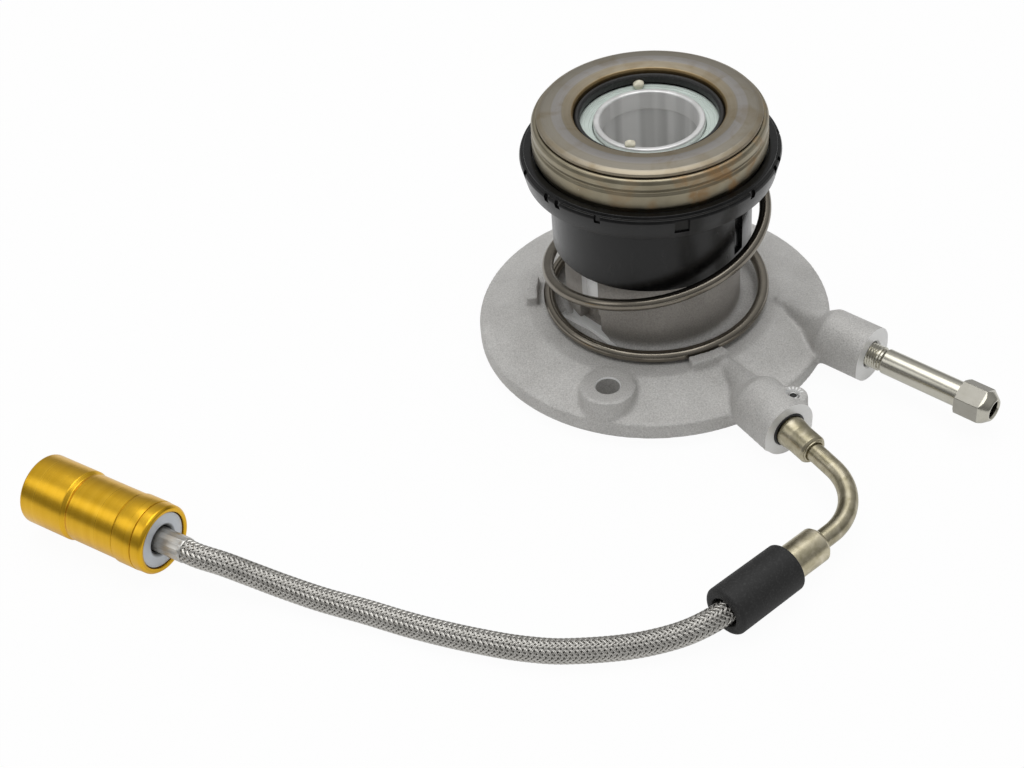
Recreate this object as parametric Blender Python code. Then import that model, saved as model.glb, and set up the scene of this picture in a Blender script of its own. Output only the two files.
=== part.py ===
"""Concentric clutch slave cylinder with a release bearing, a bleed screw, an elbow fitting and a
braided hose that ends in a quick coupling.

The world origin lies on the bore axis, at the flange face that bolts to the gearbox, with +Z
towards the bearing. The piston stands at the outer end of its travel. Lengths are in metres.
"""
import math

import bmesh
import bpy
from mathutils import Matrix, Vector

MM = 0.001
GAP = 0.3 * MM                    # clearance between pieces that seat on each other

# Cast housing
FLANGE_RADIUS = 64.0 * MM
FLANGE_EDGE = 6.5 * MM            # thickness at the rim
RIM_LEDGE = 3.0 * MM              # level band round the rim, before the flange rises as a cone
HUB_RADIUS = 46.3 * MM            # crease where the cone meets the spring seat
SEAT_HEIGHT = 13.6 * MM           # floor that the preload spring stands on
CYLINDER_RADIUS = 31.4 * MM
CYLINDER_BORE = 27.0 * MM
CYLINDER_TOP = 50.0 * MM
CHAMBER_FLOOR = 5.5 * MM
SPIGOT_RADIUS = 27.0 * MM
SPIGOT_DEPTH = 3.0 * MM
MILLED_RADIUS = 30.7 * MM         # milled side of the cylinder
MILLED_DEPTH = 0.5 * MM           # cut below the spring seat
MILLED_ARC = (-178.0, -127.0)     # degrees
SLOT_RADIUS = 29.3 * MM
SLOT_FLOOR = 18.5 * MM
SLOT_ARC = (-143.0, -127.4)
OVERCUT = 1.0 * MM                # how far a cutter reaches past the surface that it opens

# Bolt bosses
BOLT_CIRCLE = 53.5 * MM
BOLT_ANGLES = (-107.7, 72.3)
BOLT_BOSS_RADIUS = 9.8 * MM
BOLT_BOSS_DRAFT = 0.3 * MM        # wider at the foot
BOLT_BOSS_HEIGHT = 14.0 * MM
BOLT_HOLE_RADIUS = 4.2 * MM
BOLT_HOLE_CHAMFER = 0.3 * MM

# Lugs that hold the spring's lowest coil on its seat
LUG_ANGLES = (-65.0, 57.0, 179.0)
LUG_SPAN = 18.0                   # degrees
LUG_WALL = 2.8 * MM
LUG_DRAFT = 0.7 * MM
LUG_HEIGHT = 3.7 * MM             # above the spring seat
LUG_ROOT = 3.0 * MM               # sunk into the seat

# Guide tube
TUBE_RADIUS = 19.0 * MM
TUBE_BORE = 16.7 * MM
TUBE_LIP = 6.8 * MM               # length of the narrower mouth
TUBE_RELIEF = 0.6 * MM
TUBE_TOP = 88.8 * MM
TUBE_FLANGE_RADIUS = 21.2 * MM
TUBE_FLANGE = 2.0 * MM
TUBE_SEAL_SECTION = 0.8 * MM
TUBE_SEAL_DEPTH = 3.1 * MM        # from the chamber's floor down to the seal's centre

# Piston
PISTON_BODY = 40.1 * MM           # length below its shoulder
PISTON_NOSE_RADIUS = 24.0 * MM
NOSE_DROP = 5.7 * MM              # from the bearing's crown down to the end of the nose
NOSE_RIM = 1.7 * MM               # width of the raised rim at the end of the nose
NOSE_DISH = 0.8 * MM              # depth inside that rim
GROOVE_PLACE = 0.9 * MM           # retaining ring's groove, above the carrier's web
GROOVE_DEPTH = 0.8 * MM
RETAINING_RING_REACH = 1.6 * MM   # beyond the nose
RETAINING_RING_HEIGHT = 0.8 * MM
RETAINING_RING_ARC = (100.0, 448.0)
SEAL_LENGTH = 4.6 * MM
SEAL_BACK = 1.6 * MM              # solid part behind the piston seal's two lips
SEAL_LIP = 1.4 * MM

# Carrier
SKIRT_RADIUS = 35.1 * MM
SKIRT_WALL = 1.8 * MM
SKIRT_BOTTOM = 42.0 * MM
WEB_BOTTOM = 72.4 * MM
WEB_THICKNESS = 4.6 * MM
POCKET_WALL = 2.7 * MM            # round the pocket that the bearing stands in
RECESS_WALL = 0.8 * MM            # least wall round the recess for the spring's top coil
RIM_FLARE = 1.6 * MM              # how much wider the rim is than its foot
RIM_DROP = 2.2 * MM               # how far the rim hangs below the web
RIM_RISE = 2.3 * MM               # how far the pocket's wall stands above the web
SLOT_ANGLES = (-32.6, 147.4)
SLOT_WIDTH = 5.2 * MM
SLOT_FOOT = 46.0 * MM
POCKET_ANGLES = (-77.0, 43.0, 163.0)
POCKET_WIDTH = 5.0 * MM
NOTCH_OFFSETS = (-57.0, -36.5, 35.5, 56.0)
NOTCH_WIDTH = 2.2 * MM

# Release bearing, sized outward from the piston's nose and upward from the carrier's web
SHELL_BORE_ROOM = 3.6 * MM        # from the nose to the shell's bore
BEARING_SECTION = 12.6 * MM       # from the shell's bore to its outside
SHELL_WALL = 1.5 * MM
BALL_COUNT = 15
BALL_RADIUS = 3.3 * MM
BALL_PLACE = 7.0 * MM             # from the shell's outside in to the ball circle
TRACK_ANGLES = (48, 17, -17, -48)  # degrees round a ball, where its track has a corner
LOWER_RACE_FLOOR = 1.9 * MM       # thickness under the balls
RACE_RISE = 8.6 * MM              # from the balls' centres up to the crown
RACE_RIM = 2.1 * MM               # from the crown down to the underside of the overhang
RACE_INSET = 1.9 * MM             # from the shell's outside in to the race's rim
RACE_OVERHANG = 0.7 * MM
RACE_BORE_ROOM = 1.7 * MM         # from the nose to the race's bore
RACE_NECK = 1.5 * MM              # wall of the neck inside the balls
RACE_RELIEF = 0.6 * MM            # wider bore below the race's mouth
NECK_FOOT = 3.2 * MM              # above the shell's floor
CONTACT_INSET = 3.8 * MM          # from the race's bore to the ring that the spring fingers press on
CONTACT_OUTSET = 5.3 * MM         # from that ring to the race's rim
LIP_PLAY = 0.45 * MM              # between the shell's lip and the turning race
INNER_SEAL_ROOM = 0.5 * MM        # from the nose to the inner seal
INNER_SEAL_WALL = 0.9 * MM
INNER_SEAL_FOOT = 3.6 * MM        # above the shell's floor
INNER_SEAL_LEAN = 1.0 * MM        # how far its lip leans in over the piston's end
INNER_SEAL_DROP = 2.0 * MM        # from the crown down to the lip

# Preload spring
WIRE_RADIUS = 2.1 * MM
COIL_RADIUS = 38.7 * MM
COIL_SHIFT = 1.0 * MM             # the coil stands to one side of its play, towards +X
COIL_STEP = 15.0                  # degrees between the points of the wire
# Rise of the wire at chosen angles round the axis, as a share of the whole rise
COIL_RISE = ((-260, 0.0), (-110, 0.0), (-35, 0.017), (15, 0.052), (95, 0.115), (175, 0.217),
             (260, 0.426), (345, 0.646), (450, 0.86), (540, 0.975), (620, 1.0), (740, 1.0))

# Ports: a face on the end of a barrel, looking along a level heading
PORT_HEIGHT = 8.0 * MM
BLEED_FACE = (76.05 * MM, -30.84 * MM)
BLEED_HEADING = -38.9
INLET_FACE = (44.58 * MM, -68.49 * MM)
INLET_HEADING = -55.6
BARREL_RADIUS = 10.1 * MM
BARREL_LENGTH = 17.5 * MM
CHEEK_INSET = 0.1 * MM            # upright cheeks at the lower sides, within the barrel's width
CHEEK_DROP = 4.8 * MM
CHEEK_SETBACK = 0.6 * MM
HORN_SHOULDER = 8.5 * MM          # cone from the barrel down to its horn
HORN_RADIUS = 5.2 * MM
HORN_TIP_RADIUS = 2.4 * MM
BLEED_HORN_LENGTH = 56.0 * MM
INLET_HORN_LENGTH = 50.0 * MM
DRILLING_RADIUS = 1.8 * MM
BLEED_OVERRUN = 12.0 * MM         # how far a drilling runs on past its horn's tip
INLET_OVERRUN = 7.0 * MM

# Bleed screw
SCREW_RADIUS = 4.4 * MM
SCREW_THREAD_END = 4.2 * MM
SCREW_NECK = 0.6 * MM             # depth of the undercut beyond the thread
SHANK_RADIUS = 4.55 * MM
HEX_START = 35.8 * MM
HEX_WIDTH = 11.6 * MM             # across flats
HEX_TWIST = 17.0                  # degrees
HEX_END = 44.8 * MM               # where the nozzle's cone begins
NOZZLE_END = 48.0 * MM
NOZZLE_RADIUS = 4.2 * MM
NOZZLE_BORE = 3.0 * MM
SCREW_BORE = 1.5 * MM
SCREW_TIP = 14.6 * MM             # depth of the tip behind the port's face
SCREW_TIP_RADIUS = 1.2 * MM
SCREW_PILOT_RADIUS = 3.2 * MM     # plain end below the thread
SCREW_PILOT_LENGTH = 6.4 * MM
SCREW_CONE = 2.2 * MM
CONE_PLAY = 0.15 * MM
CROSS_HOLE_RADIUS = 0.9 * MM
CROSS_HOLE_PLACE = 5.2 * MM       # from the tip

# Inlet fitting, held by a roll pin beside it
FITTING_RADIUS = 5.4 * MM
FITTING_COLLAR_RADIUS = 5.65 * MM
FITTING_COLLAR_START = 0.8 * MM   # in front of the port's face
FITTING_COLLAR = 0.8 * MM
FITTING_TAPER = 4.0 * MM          # from the collar down to the outer end's radius
FITTING_OUTER_RADIUS = 5.2 * MM
FITTING_END = 13.2 * MM
FITTING_NOSE_RADIUS = 3.9 * MM
FITTING_SHOULDER = 9.6 * MM
FITTING_NOSE_END = 14.5 * MM
FITTING_BORE = 2.0 * MM
FITTING_GROOVE_PLACE = 1.2 * MM   # seal's groove, from the end of the nose
FITTING_GROOVE_WIDTH = 2.0 * MM
INLET_SEAL_SECTION = 0.6 * MM
PIN_RADIUS = 1.7 * MM
PIN_BORE = 1.0 * MM
PIN_PLACE = 6.3 * MM              # behind the port's face
PIN_OFFSET = 6.4 * MM             # beside the port's axis
PIN_TOP = 14.8 * MM
PIN_FOOT = 3.2 * MM
PIN_ARC = (20.0, 350.0)
PAD_RADIUS = 5.2 * MM
PAD_TOP = 15.9 * MM

# Elbow pipe and the crimped hose end
PIPE_RADIUS = 3.3 * MM
PIPE_WALL = 0.8 * MM
PIPE_INSERTION = 5.0 * MM         # into the fitting
FERRULE_INSERTION = 8.0 * MM      # into the ferrule
PIPE_LEAD = 3.0 * MM              # level run before the pipe starts to drop
ELBOW_RADIUS = 20.5 * MM
ELBOW_STEPS = 9
HOSE_END_POINT = (50.5 * MM, -118.4 * MM)   # where the ferrule begins
HOSE_END_HEADING = -137.0
HOSE_END_HEIGHT = 5.2 * MM
FERRULE_RADIUS = 5.95 * MM
FERRULE_LENGTH = 34.2 * MM
SLEEVE_RADIUS = 8.2 * MM
SLEEVE_START = 14.7 * MM          # along the ferrule
SLEEVE_LENGTH = 27.8 * MM
SLEEVE_LIP = 1.2 * MM             # flare of the sleeve's mouth round the hose
SLEEVE_MOUTH = 4.0 * MM           # length of that flare

# Braided hose: its route, in metres, from the ferrule to the coupling
HOSE_RADIUS = 4.1 * MM
HOSE_POINTS = 26
HOSE_ROUTE = (
    (0.0253, -0.1419, 0.0052), (0.0195, -0.1473, 0.0051), (0.0132, -0.1512, 0.0043),
    (0.0072, -0.1535, 0.0031), (0.0002, -0.1552, 0.0020), (-0.0085, -0.1568, 0.0013),
    (-0.0186, -0.1580, 0.0012), (-0.0308, -0.1585, 0.0012), (-0.0400, -0.1576, 0.0012),
    (-0.0493, -0.1558, 0.0012), (-0.0634, -0.1520, 0.0012), (-0.0779, -0.1472, 0.0012),
    (-0.0923, -0.1416, 0.0013), (-0.1065, -0.1367, 0.0017), (-0.1189, -0.1322, 0.0029),
    (-0.1303, -0.1286, 0.0053), (-0.1391, -0.1264, 0.0079), (-0.1472, -0.1241, 0.0092),
    (-0.15247, -0.12113, 0.0092))

# Quick coupling, lying on the same surface as the casting's spigot
COUPLING_TAIL = (-159.9 * MM, -117.0 * MM)
COUPLING_HEADING = 150.9
CAP_RADIUS = 12.05 * MM           # rear band of the sleeve
CAP_FACE_RADIUS = 10.8 * MM
CAP_SHOULDER_RADIUS = 11.3 * MM
CAP_SHOULDER = 1.4 * MM
CAP_TAPER = 4.2 * MM
CAP_START = 6.7 * MM
CAP_END = 14.8 * MM
GRIP_RADIUS = 11.7 * MM
GRIP_END = 34.6 * MM
GRIP_STEP = 1.6 * MM              # slope from the grip up to the mouth's band
MOUTH_RADIUS = 12.2 * MM
SLEEVE_BORE = 9.9 * MM
COUPLING_LENGTH = 52.5 * MM
LAND_BORE = 8.95 * MM
LAND_START = 33.9 * MM
LAND_END = 37.7 * MM
GUIDE_BORE = 8.3 * MM
GUIDE_START = 43.4 * MM
GUIDE_END = 47.2 * MM
TAIL_RADIUS = 9.2 * MM
TAIL_FACE = 1.8 * MM
TAIL_DISH = 0.9 * MM
TAIL_END = 10.0 * MM
TAIL_BORE = 1.5 * MM
BODY_COLLAR_RADIUS = 9.6 * MM
BODY_COLLAR_END = 14.0 * MM
BODY_RADIUS = 7.9 * MM
BODY_END = 51.8 * MM
CHAMBER_RADIUS = 4.6 * MM
CHAMBER_END = 30.0 * MM
CHAMBER_CONE = 1.6 * MM
VALVE_OPENING = 3.0 * MM
SOCKET_RADIUS = 5.6 * MM
SOCKET_START = 32.4 * MM
LOCK_BALL_COUNT = 6
LOCK_BALL_RADIUS = 1.7 * MM
LOCK_BALL_CENTRE = 6.95 * MM
LOCK_BALL_PLACE = 35.9 * MM
LOCK_HOLE_REACH = 2.6 * MM        # each way from the ball's centre
RING_START = 47.5 * MM
RING_WIDTH = 1.2 * MM
RING_GROOVE_RADIUS = 7.1 * MM
RING_ARC = (10.0, 350.0)
SOCKET_SEAL_PLACE = 42.0 * MM
SOCKET_SEAL_SECTION = 0.75 * MM
CRIMP_RADIUS = 3.85 * MM
CRIMP_START = -8.2 * MM
CRIMP_END = 6.0 * MM
COUPLING_WIRE = 0.4 * MM
COUPLING_TURNS = 5
POPPET_WIRE = 0.3 * MM
POPPET_TURNS = 4
POPPET_STEM = 1.6 * MM
POPPET_TAIL = 6.0 * MM            # from the tail piece to the stem's rear end
POPPET_HEAD = 2.6 * MM
POPPET_PIN = 1.0 * MM             # how far the stem reaches into the socket

# Facets round the housing, the other large pieces, the ports and small pieces, and the thin wires
STEPS = 32
MEDIUM = 24
FINE = 12
SPRING_STEP = 45.0                # degrees between the points of the coupling's springs

# Sizes that follow from those above
BEARING_FLOOR = WEB_BOTTOM + WEB_THICKNESS + GAP
SHELL_BORE = PISTON_NOSE_RADIUS + SHELL_BORE_ROOM
SHELL_RADIUS = SHELL_BORE + BEARING_SECTION
BALL_HEIGHT = BEARING_FLOOR + SHELL_WALL + LOWER_RACE_FLOOR + BALL_RADIUS + 2 * GAP
RACE_CROWN = BALL_HEIGHT + RACE_RISE
PISTON_SHOULDER = WEB_BOTTOM - GAP
PISTON_TOP = RACE_CROWN - NOSE_DROP
COIL_OUTSIDE = COIL_RADIUS + COIL_SHIFT + WIRE_RADIUS
SPRING_ROOM = COIL_OUTSIDE + 2 * GAP


for old in list(bpy.data.objects):
    bpy.data.objects.remove(old, do_unlink=True)


def finish(name, colour, roughness, metallic):
    """Principled material of one flat colour."""
    material = bpy.data.materials.new(name)
    material.use_nodes = True
    shader = material.node_tree.nodes["Principled BSDF"]
    shader.inputs["Base Color"].default_value = (*colour, 1.0)
    shader.inputs["Roughness"].default_value = roughness
    shader.inputs["Metallic"].default_value = metallic
    return material


CAST = ("cast aluminium", (0.52, 0.51, 0.49), 0.55, 0.7)
TURNED = ("turned aluminium", (0.72, 0.72, 0.71), 0.3, 1.0)
ANODISED = ("anodised piston", (0.58, 0.63, 0.58), 0.4, 0.4)
STEEL = ("bearing steel", (0.42, 0.39, 0.34), 0.35, 1.0)
BRIGHT_STEEL = ("bright steel", (0.62, 0.61, 0.58), 0.25, 1.0)
SPRING_STEEL = ("spring steel", (0.28, 0.26, 0.22), 0.35, 1.0)
PLASTIC = ("black nylon", (0.02, 0.02, 0.02), 0.4, 0.0)
RUBBER = ("black rubber", (0.025, 0.025, 0.025), 0.6, 0.0)
ZINC = ("yellow zinc plate", (0.48, 0.45, 0.33), 0.3, 1.0)
GOLD = ("gold anodised sleeve", (0.72, 0.47, 0.05), 0.25, 1.0)
GREY = ("grey zinc casting", (0.55, 0.56, 0.56), 0.4, 0.6)
BRAID = ("steel braid", (0.45, 0.44, 0.41), 0.45, 0.9)


def marker(name, place=(0.0, 0.0, 0.0), heading=None):
    """Empty at a place. With a heading in degrees, its +Z lies level along it and +X points up."""
    empty = bpy.data.objects.new(name, None)
    bpy.context.scene.collection.objects.link(empty)
    empty.location = place
    if heading is not None:
        turn = math.radians(heading)
        forward = Vector((math.cos(turn), math.sin(turn), 0.0))
        up = Vector((0.0, 0.0, 1.0))
        side = forward.cross(up)
        empty.rotation_euler = Matrix((up, side, forward)).transposed().to_euler()
    return empty


def add(name, mesh, look, parent=None, place=(0.0, 0.0, 0.0)):
    """Object for a mesh, with its own material, smooth where its faces turn gently."""
    part = bpy.data.objects.new(name, mesh)
    bpy.context.scene.collection.objects.link(part)
    part.parent = parent
    part.location = place
    if look is None:
        part.hide_render = True
        part.display_type = 'WIRE'
    else:
        mesh.materials.append(finish(name, *look[1:]))
        mesh.shade_smooth()
        mesh.set_sharp_from_angle(angle=math.radians(32.0))
    return part


def loft(rings, wrap=False, closed=True):
    """Mesh through rings of points. wrap joins last to first, closed closes each ring."""
    bm = bmesh.new()
    rows = [[bm.verts.new(point) for point in ring] for ring in rings]
    count = len(rings[0])
    for this, following in zip(rows, rows[1:] + ([rows[0]] if wrap else [])):
        for i in range(count if closed else count - 1):
            j = (i + 1) % count
            bm.faces.new((this[i], this[j], following[j], following[i]))
    if not wrap:
        bm.faces.new(rows[0])
        bm.faces.new(rows[-1])
    bmesh.ops.remove_doubles(bm, verts=bm.verts, dist=1e-7)
    bmesh.ops.recalc_face_normals(bm, faces=bm.faces)
    mesh = bpy.data.meshes.new("loft")
    bm.to_mesh(mesh)
    bm.free()
    return mesh


def rounded(corners):
    """Outline through corners, where a corner with a third value gets a fillet of that radius.

    A small fillet becomes a chamfer.
    """
    points = []
    count = len(corners)
    for i, corner in enumerate(corners):
        here = Vector(corner[:2])
        radius = corner[2] if len(corner) > 2 else 0.0
        if radius <= 0.0:
            points.append(here)
            continue
        back = (Vector(corners[i - 1][:2]) - here).normalized()
        ahead = (Vector(corners[(i + 1) % count][:2]) - here).normalized()
        segments = 1 if radius < 0.95 * MM else 2
        half = back.angle(ahead) / 2.0
        reach = radius / math.tan(half)
        centre = here + (back + ahead).normalized() * (radius / math.sin(half))
        start = here + back * reach - centre
        sweep = start.angle_signed(here + ahead * reach - centre)
        for k in range(segments + 1):
            turn = -sweep * k / segments
            points.append(centre + Matrix.Rotation(turn, 2) @ start)
    return points


def turned(name, corners, look, parent=None, steps=MEDIUM, ring=True, arc=None):
    """Solid turned about local Z from a section of (radius, height) corners.

    ring is false where the section starts and ends on the axis. arc gives a first and last angle
    in degrees for a part turn.
    """
    section = rounded(corners)
    first, last = arc if arc else (0.0, 360.0)
    rings = []
    for k in range(steps + 1 if arc else steps):
        turn = math.radians(first + (last - first) * k / steps)
        rings.append([(r * math.cos(turn), r * math.sin(turn), z) for r, z in section])
    return add(name, loft(rings, wrap=not arc, closed=ring), look, parent)


def box(name, low, high, angle=0.0, parent=None):
    """Cutter box between two corners, turned about Z by an angle in degrees."""
    turn = Matrix.Rotation(math.radians(angle), 3, 'Z')
    outline = ((low[0], low[1]), (high[0], low[1]), (high[0], high[1]), (low[0], high[1]))
    rings = [[turn @ Vector((x, y, z)) for x, y in outline] for z in (low[2], high[2])]
    return add(name, loft(rings), None, parent)


def repeated(name, radius, reach, places):
    """Cutter of upright cylinders at several places, each reaching up and down from its place."""
    bm = bmesh.new()
    for place in places:
        bmesh.ops.create_cone(bm, cap_ends=True, segments=6, radius1=radius, radius2=radius,
                              depth=2 * reach, matrix=Matrix.Translation(place))
    mesh = bpy.data.meshes.new(name)
    bm.to_mesh(mesh)
    bm.free()
    return add(name, mesh, None)


def boolean(target, tool, operation):
    """Boolean of a piece with a hidden tool, left as a modifier."""
    modifier = target.modifiers.new(tool.name, 'BOOLEAN')
    modifier.operation = operation
    modifier.object = tool
    modifier.solver = 'EXACT'


def smooth_curve(points, samples):
    """Points read at even steps of the parameter from a Catmull-Rom curve."""
    route = [Vector(point) for point in points]
    route = [2 * route[0] - route[1]] + route + [2 * route[-1] - route[-2]]
    spans = len(points) - 1
    out = []
    for k in range(samples + 1):
        place = min(k * spans / samples, spans - 1e-9)
        i = int(place)
        t = place - i
        a, b, c, d = route[i:i + 4]
        out.append(0.5 * (2 * b + (c - a) * t + (2 * a - 5 * b + 4 * c - d) * t ** 2
                          + (3 * b - a - 3 * c + d) * t ** 3))
    return out


def swept_rings(path, radius, sides, up=Vector((0.0, 0.0, 1.0))):
    """Circles of a radius square to a path, with their first point towards up."""
    rings = []
    for i, point in enumerate(path):
        ahead = (path[min(i + 1, len(path) - 1)] - path[max(i - 1, 0)]).normalized()
        side = ahead.cross(up).normalized()
        top = side.cross(ahead)
        turns = [2 * math.pi * k / sides for k in range(sides)]
        rings.append([point + radius * (math.cos(t) * top + math.sin(t) * side) for t in turns])
    return rings


def helix(radius, first, last, low, high, step):
    """Points of a coil about local Z with closed ends, from one angle and height to another."""
    points = []
    count = round((last - first) / step)
    for k in range(count + 1):
        t = k / count
        turn = math.radians(first + (last - first) * t)
        rise = 0.5 - 0.5 * math.cos(math.pi * min(max((t - 0.08) / 0.84, 0.0), 1.0))
        height = low + (high - low) * (0.25 * rise + 0.75 * min(max((t - 0.08) / 0.84, 0.0), 1.0))
        points.append(Vector((radius * math.cos(turn), radius * math.sin(turn), height)))
    return points


# Housing: the flange, spring seat and cylinder are one turned form
def make_housing(bleed_port, inlet_port):
    cylinder = CYLINDER_RADIUS
    seal_room = TUBE_SEAL_SECTION + GAP / 2 + 0.05 * MM
    groove_low = CHAMBER_FLOOR - TUBE_SEAL_DEPTH - seal_room
    groove_high = CHAMBER_FLOOR - TUBE_SEAL_DEPTH + seal_room
    tube_hole = TUBE_RADIUS + GAP
    recess = TUBE_FLANGE_RADIUS + GAP
    recess_top = TUBE_FLANGE + GAP - SPIGOT_DEPTH
    groove_radius = tube_hole + 2 * TUBE_SEAL_SECTION + GAP
    housing = turned("housing", [
        (recess, -SPIGOT_DEPTH), (SPIGOT_RADIUS, -SPIGOT_DEPTH), (SPIGOT_RADIUS, 0.0),
        (FLANGE_RADIUS, 0.0), (FLANGE_RADIUS, FLANGE_EDGE, 1.2 * MM),
        (FLANGE_RADIUS - RIM_LEDGE, FLANGE_EDGE + 0.5 * MM), (HUB_RADIUS, SEAT_HEIGHT),
        (cylinder, SEAT_HEIGHT, 1.7 * MM), (cylinder, CYLINDER_TOP, 0.4 * MM),
        (CYLINDER_BORE, CYLINDER_TOP, 0.4 * MM), (CYLINDER_BORE, CHAMBER_FLOOR),
        (tube_hole, CHAMBER_FLOOR), (tube_hole, groove_high), (groove_radius, groove_high),
        (groove_radius, groove_low), (tube_hole, groove_low), (tube_hole, recess_top),
        (recess, recess_top)], CAST, steps=STEPS)

    root = FLANGE_EDGE / 2.0
    for number, place in enumerate(bolt_places(), 1):
        boss = turned(f"bolt_boss_{number}", [
            (0.0, root), (BOLT_BOSS_RADIUS + BOLT_BOSS_DRAFT, root),
            (BOLT_BOSS_RADIUS, BOLT_BOSS_HEIGHT, 0.5 * MM), (0.0, BOLT_BOSS_HEIGHT)],
            None, steps=FINE, ring=False)
        boss.location = place
        boolean(housing, boss, 'UNION')
    for number, angle in enumerate(LUG_ANGLES, 1):
        low = SEAT_HEIGHT - LUG_ROOT
        high = SEAT_HEIGHT + LUG_HEIGHT
        lug = turned(f"spring_lug_{number}", [
            (SPRING_ROOM, low), (SPRING_ROOM + LUG_WALL + LUG_DRAFT, low),
            (SPRING_ROOM + LUG_WALL, high, 0.5 * MM), (SPRING_ROOM, high, 0.3 * MM)],
            None, steps=4, arc=(angle - LUG_SPAN / 2, angle + LUG_SPAN / 2))
        boolean(housing, lug, 'UNION')

    ports = (("bleed", bleed_port, BLEED_HORN_LENGTH), ("inlet", inlet_port, INLET_HORN_LENGTH))
    for name, port, horn in ports:
        barrel = turned(f"{name}_barrel", [
            (0.0, -horn), (HORN_TIP_RADIUS, -horn),
            (HORN_RADIUS, -BARREL_LENGTH - HORN_SHOULDER, 2.0 * MM),
            (BARREL_RADIUS, -BARREL_LENGTH, 2.5 * MM), (BARREL_RADIUS, 0.0, 0.5 * MM), (0.0, 0.0)],
            None, port, FINE, ring=False)
        side = BARREL_RADIUS - CHEEK_INSET
        cheeks = box(f"{name}_cheeks", (-CHEEK_DROP, -side, -BARREL_LENGTH),
                     (0.0, side, -CHEEK_SETBACK), parent=port)
        boolean(housing, barrel, 'UNION')
        boolean(housing, cheeks, 'UNION')
    pad = turned("pin_pad", [
        (0.0, root), (PAD_RADIUS, root), (PAD_RADIUS, PAD_TOP, 0.5 * MM), (0.0, PAD_TOP)],
        None, steps=FINE, ring=False)
    pad.location = pin_place(inlet_port)
    boolean(housing, pad, 'UNION')

    cut_housing(housing)
    drill_ports(housing, bleed_port, inlet_port)
    return housing


def bolt_places():
    """Centres of the bolt bosses, at the height of the flange's face."""
    middle = Vector((BOLT_CIRCLE, 0.0, 0.0))
    return [Matrix.Rotation(math.radians(angle), 3, 'Z') @ middle for angle in BOLT_ANGLES]


def cut_housing(housing):
    """Bolt holes, and the milled side of the cylinder with its slot."""
    mouth = BOLT_HOLE_RADIUS + BOLT_HOLE_CHAMFER + OVERCUT
    for number, place in enumerate(bolt_places(), 1):
        hole = turned(f"bolt_hole_{number}", [
            (0.0, -SPIGOT_DEPTH), (BOLT_HOLE_RADIUS, -SPIGOT_DEPTH),
            (BOLT_HOLE_RADIUS, BOLT_BOSS_HEIGHT - BOLT_HOLE_CHAMFER),
            (mouth, BOLT_BOSS_HEIGHT + OVERCUT), (0.0, BOLT_BOSS_HEIGHT + OVERCUT)],
            None, steps=FINE, ring=False)
        hole.location = place
        boolean(housing, hole, 'DIFFERENCE')

    top = CYLINDER_TOP + OVERCUT
    outside = CYLINDER_RADIUS + 4 * OVERCUT
    foot = SEAT_HEIGHT - MILLED_DEPTH
    milled = turned("milled_side", [
        (MILLED_RADIUS, foot), (outside, foot), (outside, top), (MILLED_RADIUS, top)],
        None, steps=8, arc=MILLED_ARC)
    slot = turned("milled_slot", [
        (SLOT_RADIUS, SLOT_FLOOR), (outside, SLOT_FLOOR), (outside, top), (SLOT_RADIUS, top)],
        None, steps=3, arc=SLOT_ARC)
    boolean(housing, milled, 'DIFFERENCE')
    boolean(housing, slot, 'DIFFERENCE')


def drill_ports(housing, bleed_port, inlet_port):
    """Stepped bores of the two ports, their drillings into the chamber, and the roll pin's hole."""
    seat = SCREW_TIP - CONE_PLAY
    bore = SCREW_RADIUS + GAP
    bleed_end = BLEED_HORN_LENGTH + BLEED_OVERRUN
    bleed_bore = turned("bleed_bore", [
        (0.0, -bleed_end), (DRILLING_RADIUS, -bleed_end), (DRILLING_RADIUS, -seat),
        (bore, -seat + 3.0 * MM), (bore, -0.7 * MM), (bore + 0.7 * MM + OVERCUT, OVERCUT),
        (0.0, OVERCUT)], None, bleed_port, FINE, ring=False)
    body_bore = FITTING_RADIUS + GAP
    nose_bore = FITTING_NOSE_RADIUS + GAP
    shoulder = FITTING_SHOULDER + GAP
    nose_end = FITTING_NOSE_END + GAP
    inlet_end = INLET_HORN_LENGTH + INLET_OVERRUN
    inlet_bore = turned("inlet_bore", [
        (0.0, -inlet_end), (DRILLING_RADIUS, -inlet_end), (DRILLING_RADIUS, -nose_end),
        (nose_bore, -nose_end), (nose_bore, -shoulder), (body_bore, -shoulder),
        (body_bore, -0.5 * MM), (body_bore + 0.5 * MM + OVERCUT, OVERCUT), (0.0, OVERCUT)],
        None, inlet_port, FINE, ring=False)
    hole = PIN_RADIUS + GAP
    pin_hole = turned("pin_hole", [
        (0.0, PIN_FOOT - GAP), (hole, PIN_FOOT - GAP), (hole, PAD_TOP + OVERCUT),
        (0.0, PAD_TOP + OVERCUT)], None, steps=10, ring=False)
    pin_hole.location = pin_place(inlet_port)
    for tool in (bleed_bore, inlet_bore, pin_hole):
        boolean(housing, tool, 'DIFFERENCE')


def pin_place(port):
    """Foot of the roll pin, beside the inlet's axis."""
    turn = math.radians(INLET_HEADING)
    forward = Vector((math.cos(turn), math.sin(turn), 0.0))
    left = Vector((-math.sin(turn), math.cos(turn), 0.0))
    foot = port.location - forward * PIN_PLACE + left * PIN_OFFSET
    return Vector((foot.x, foot.y, 0.0))


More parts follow.
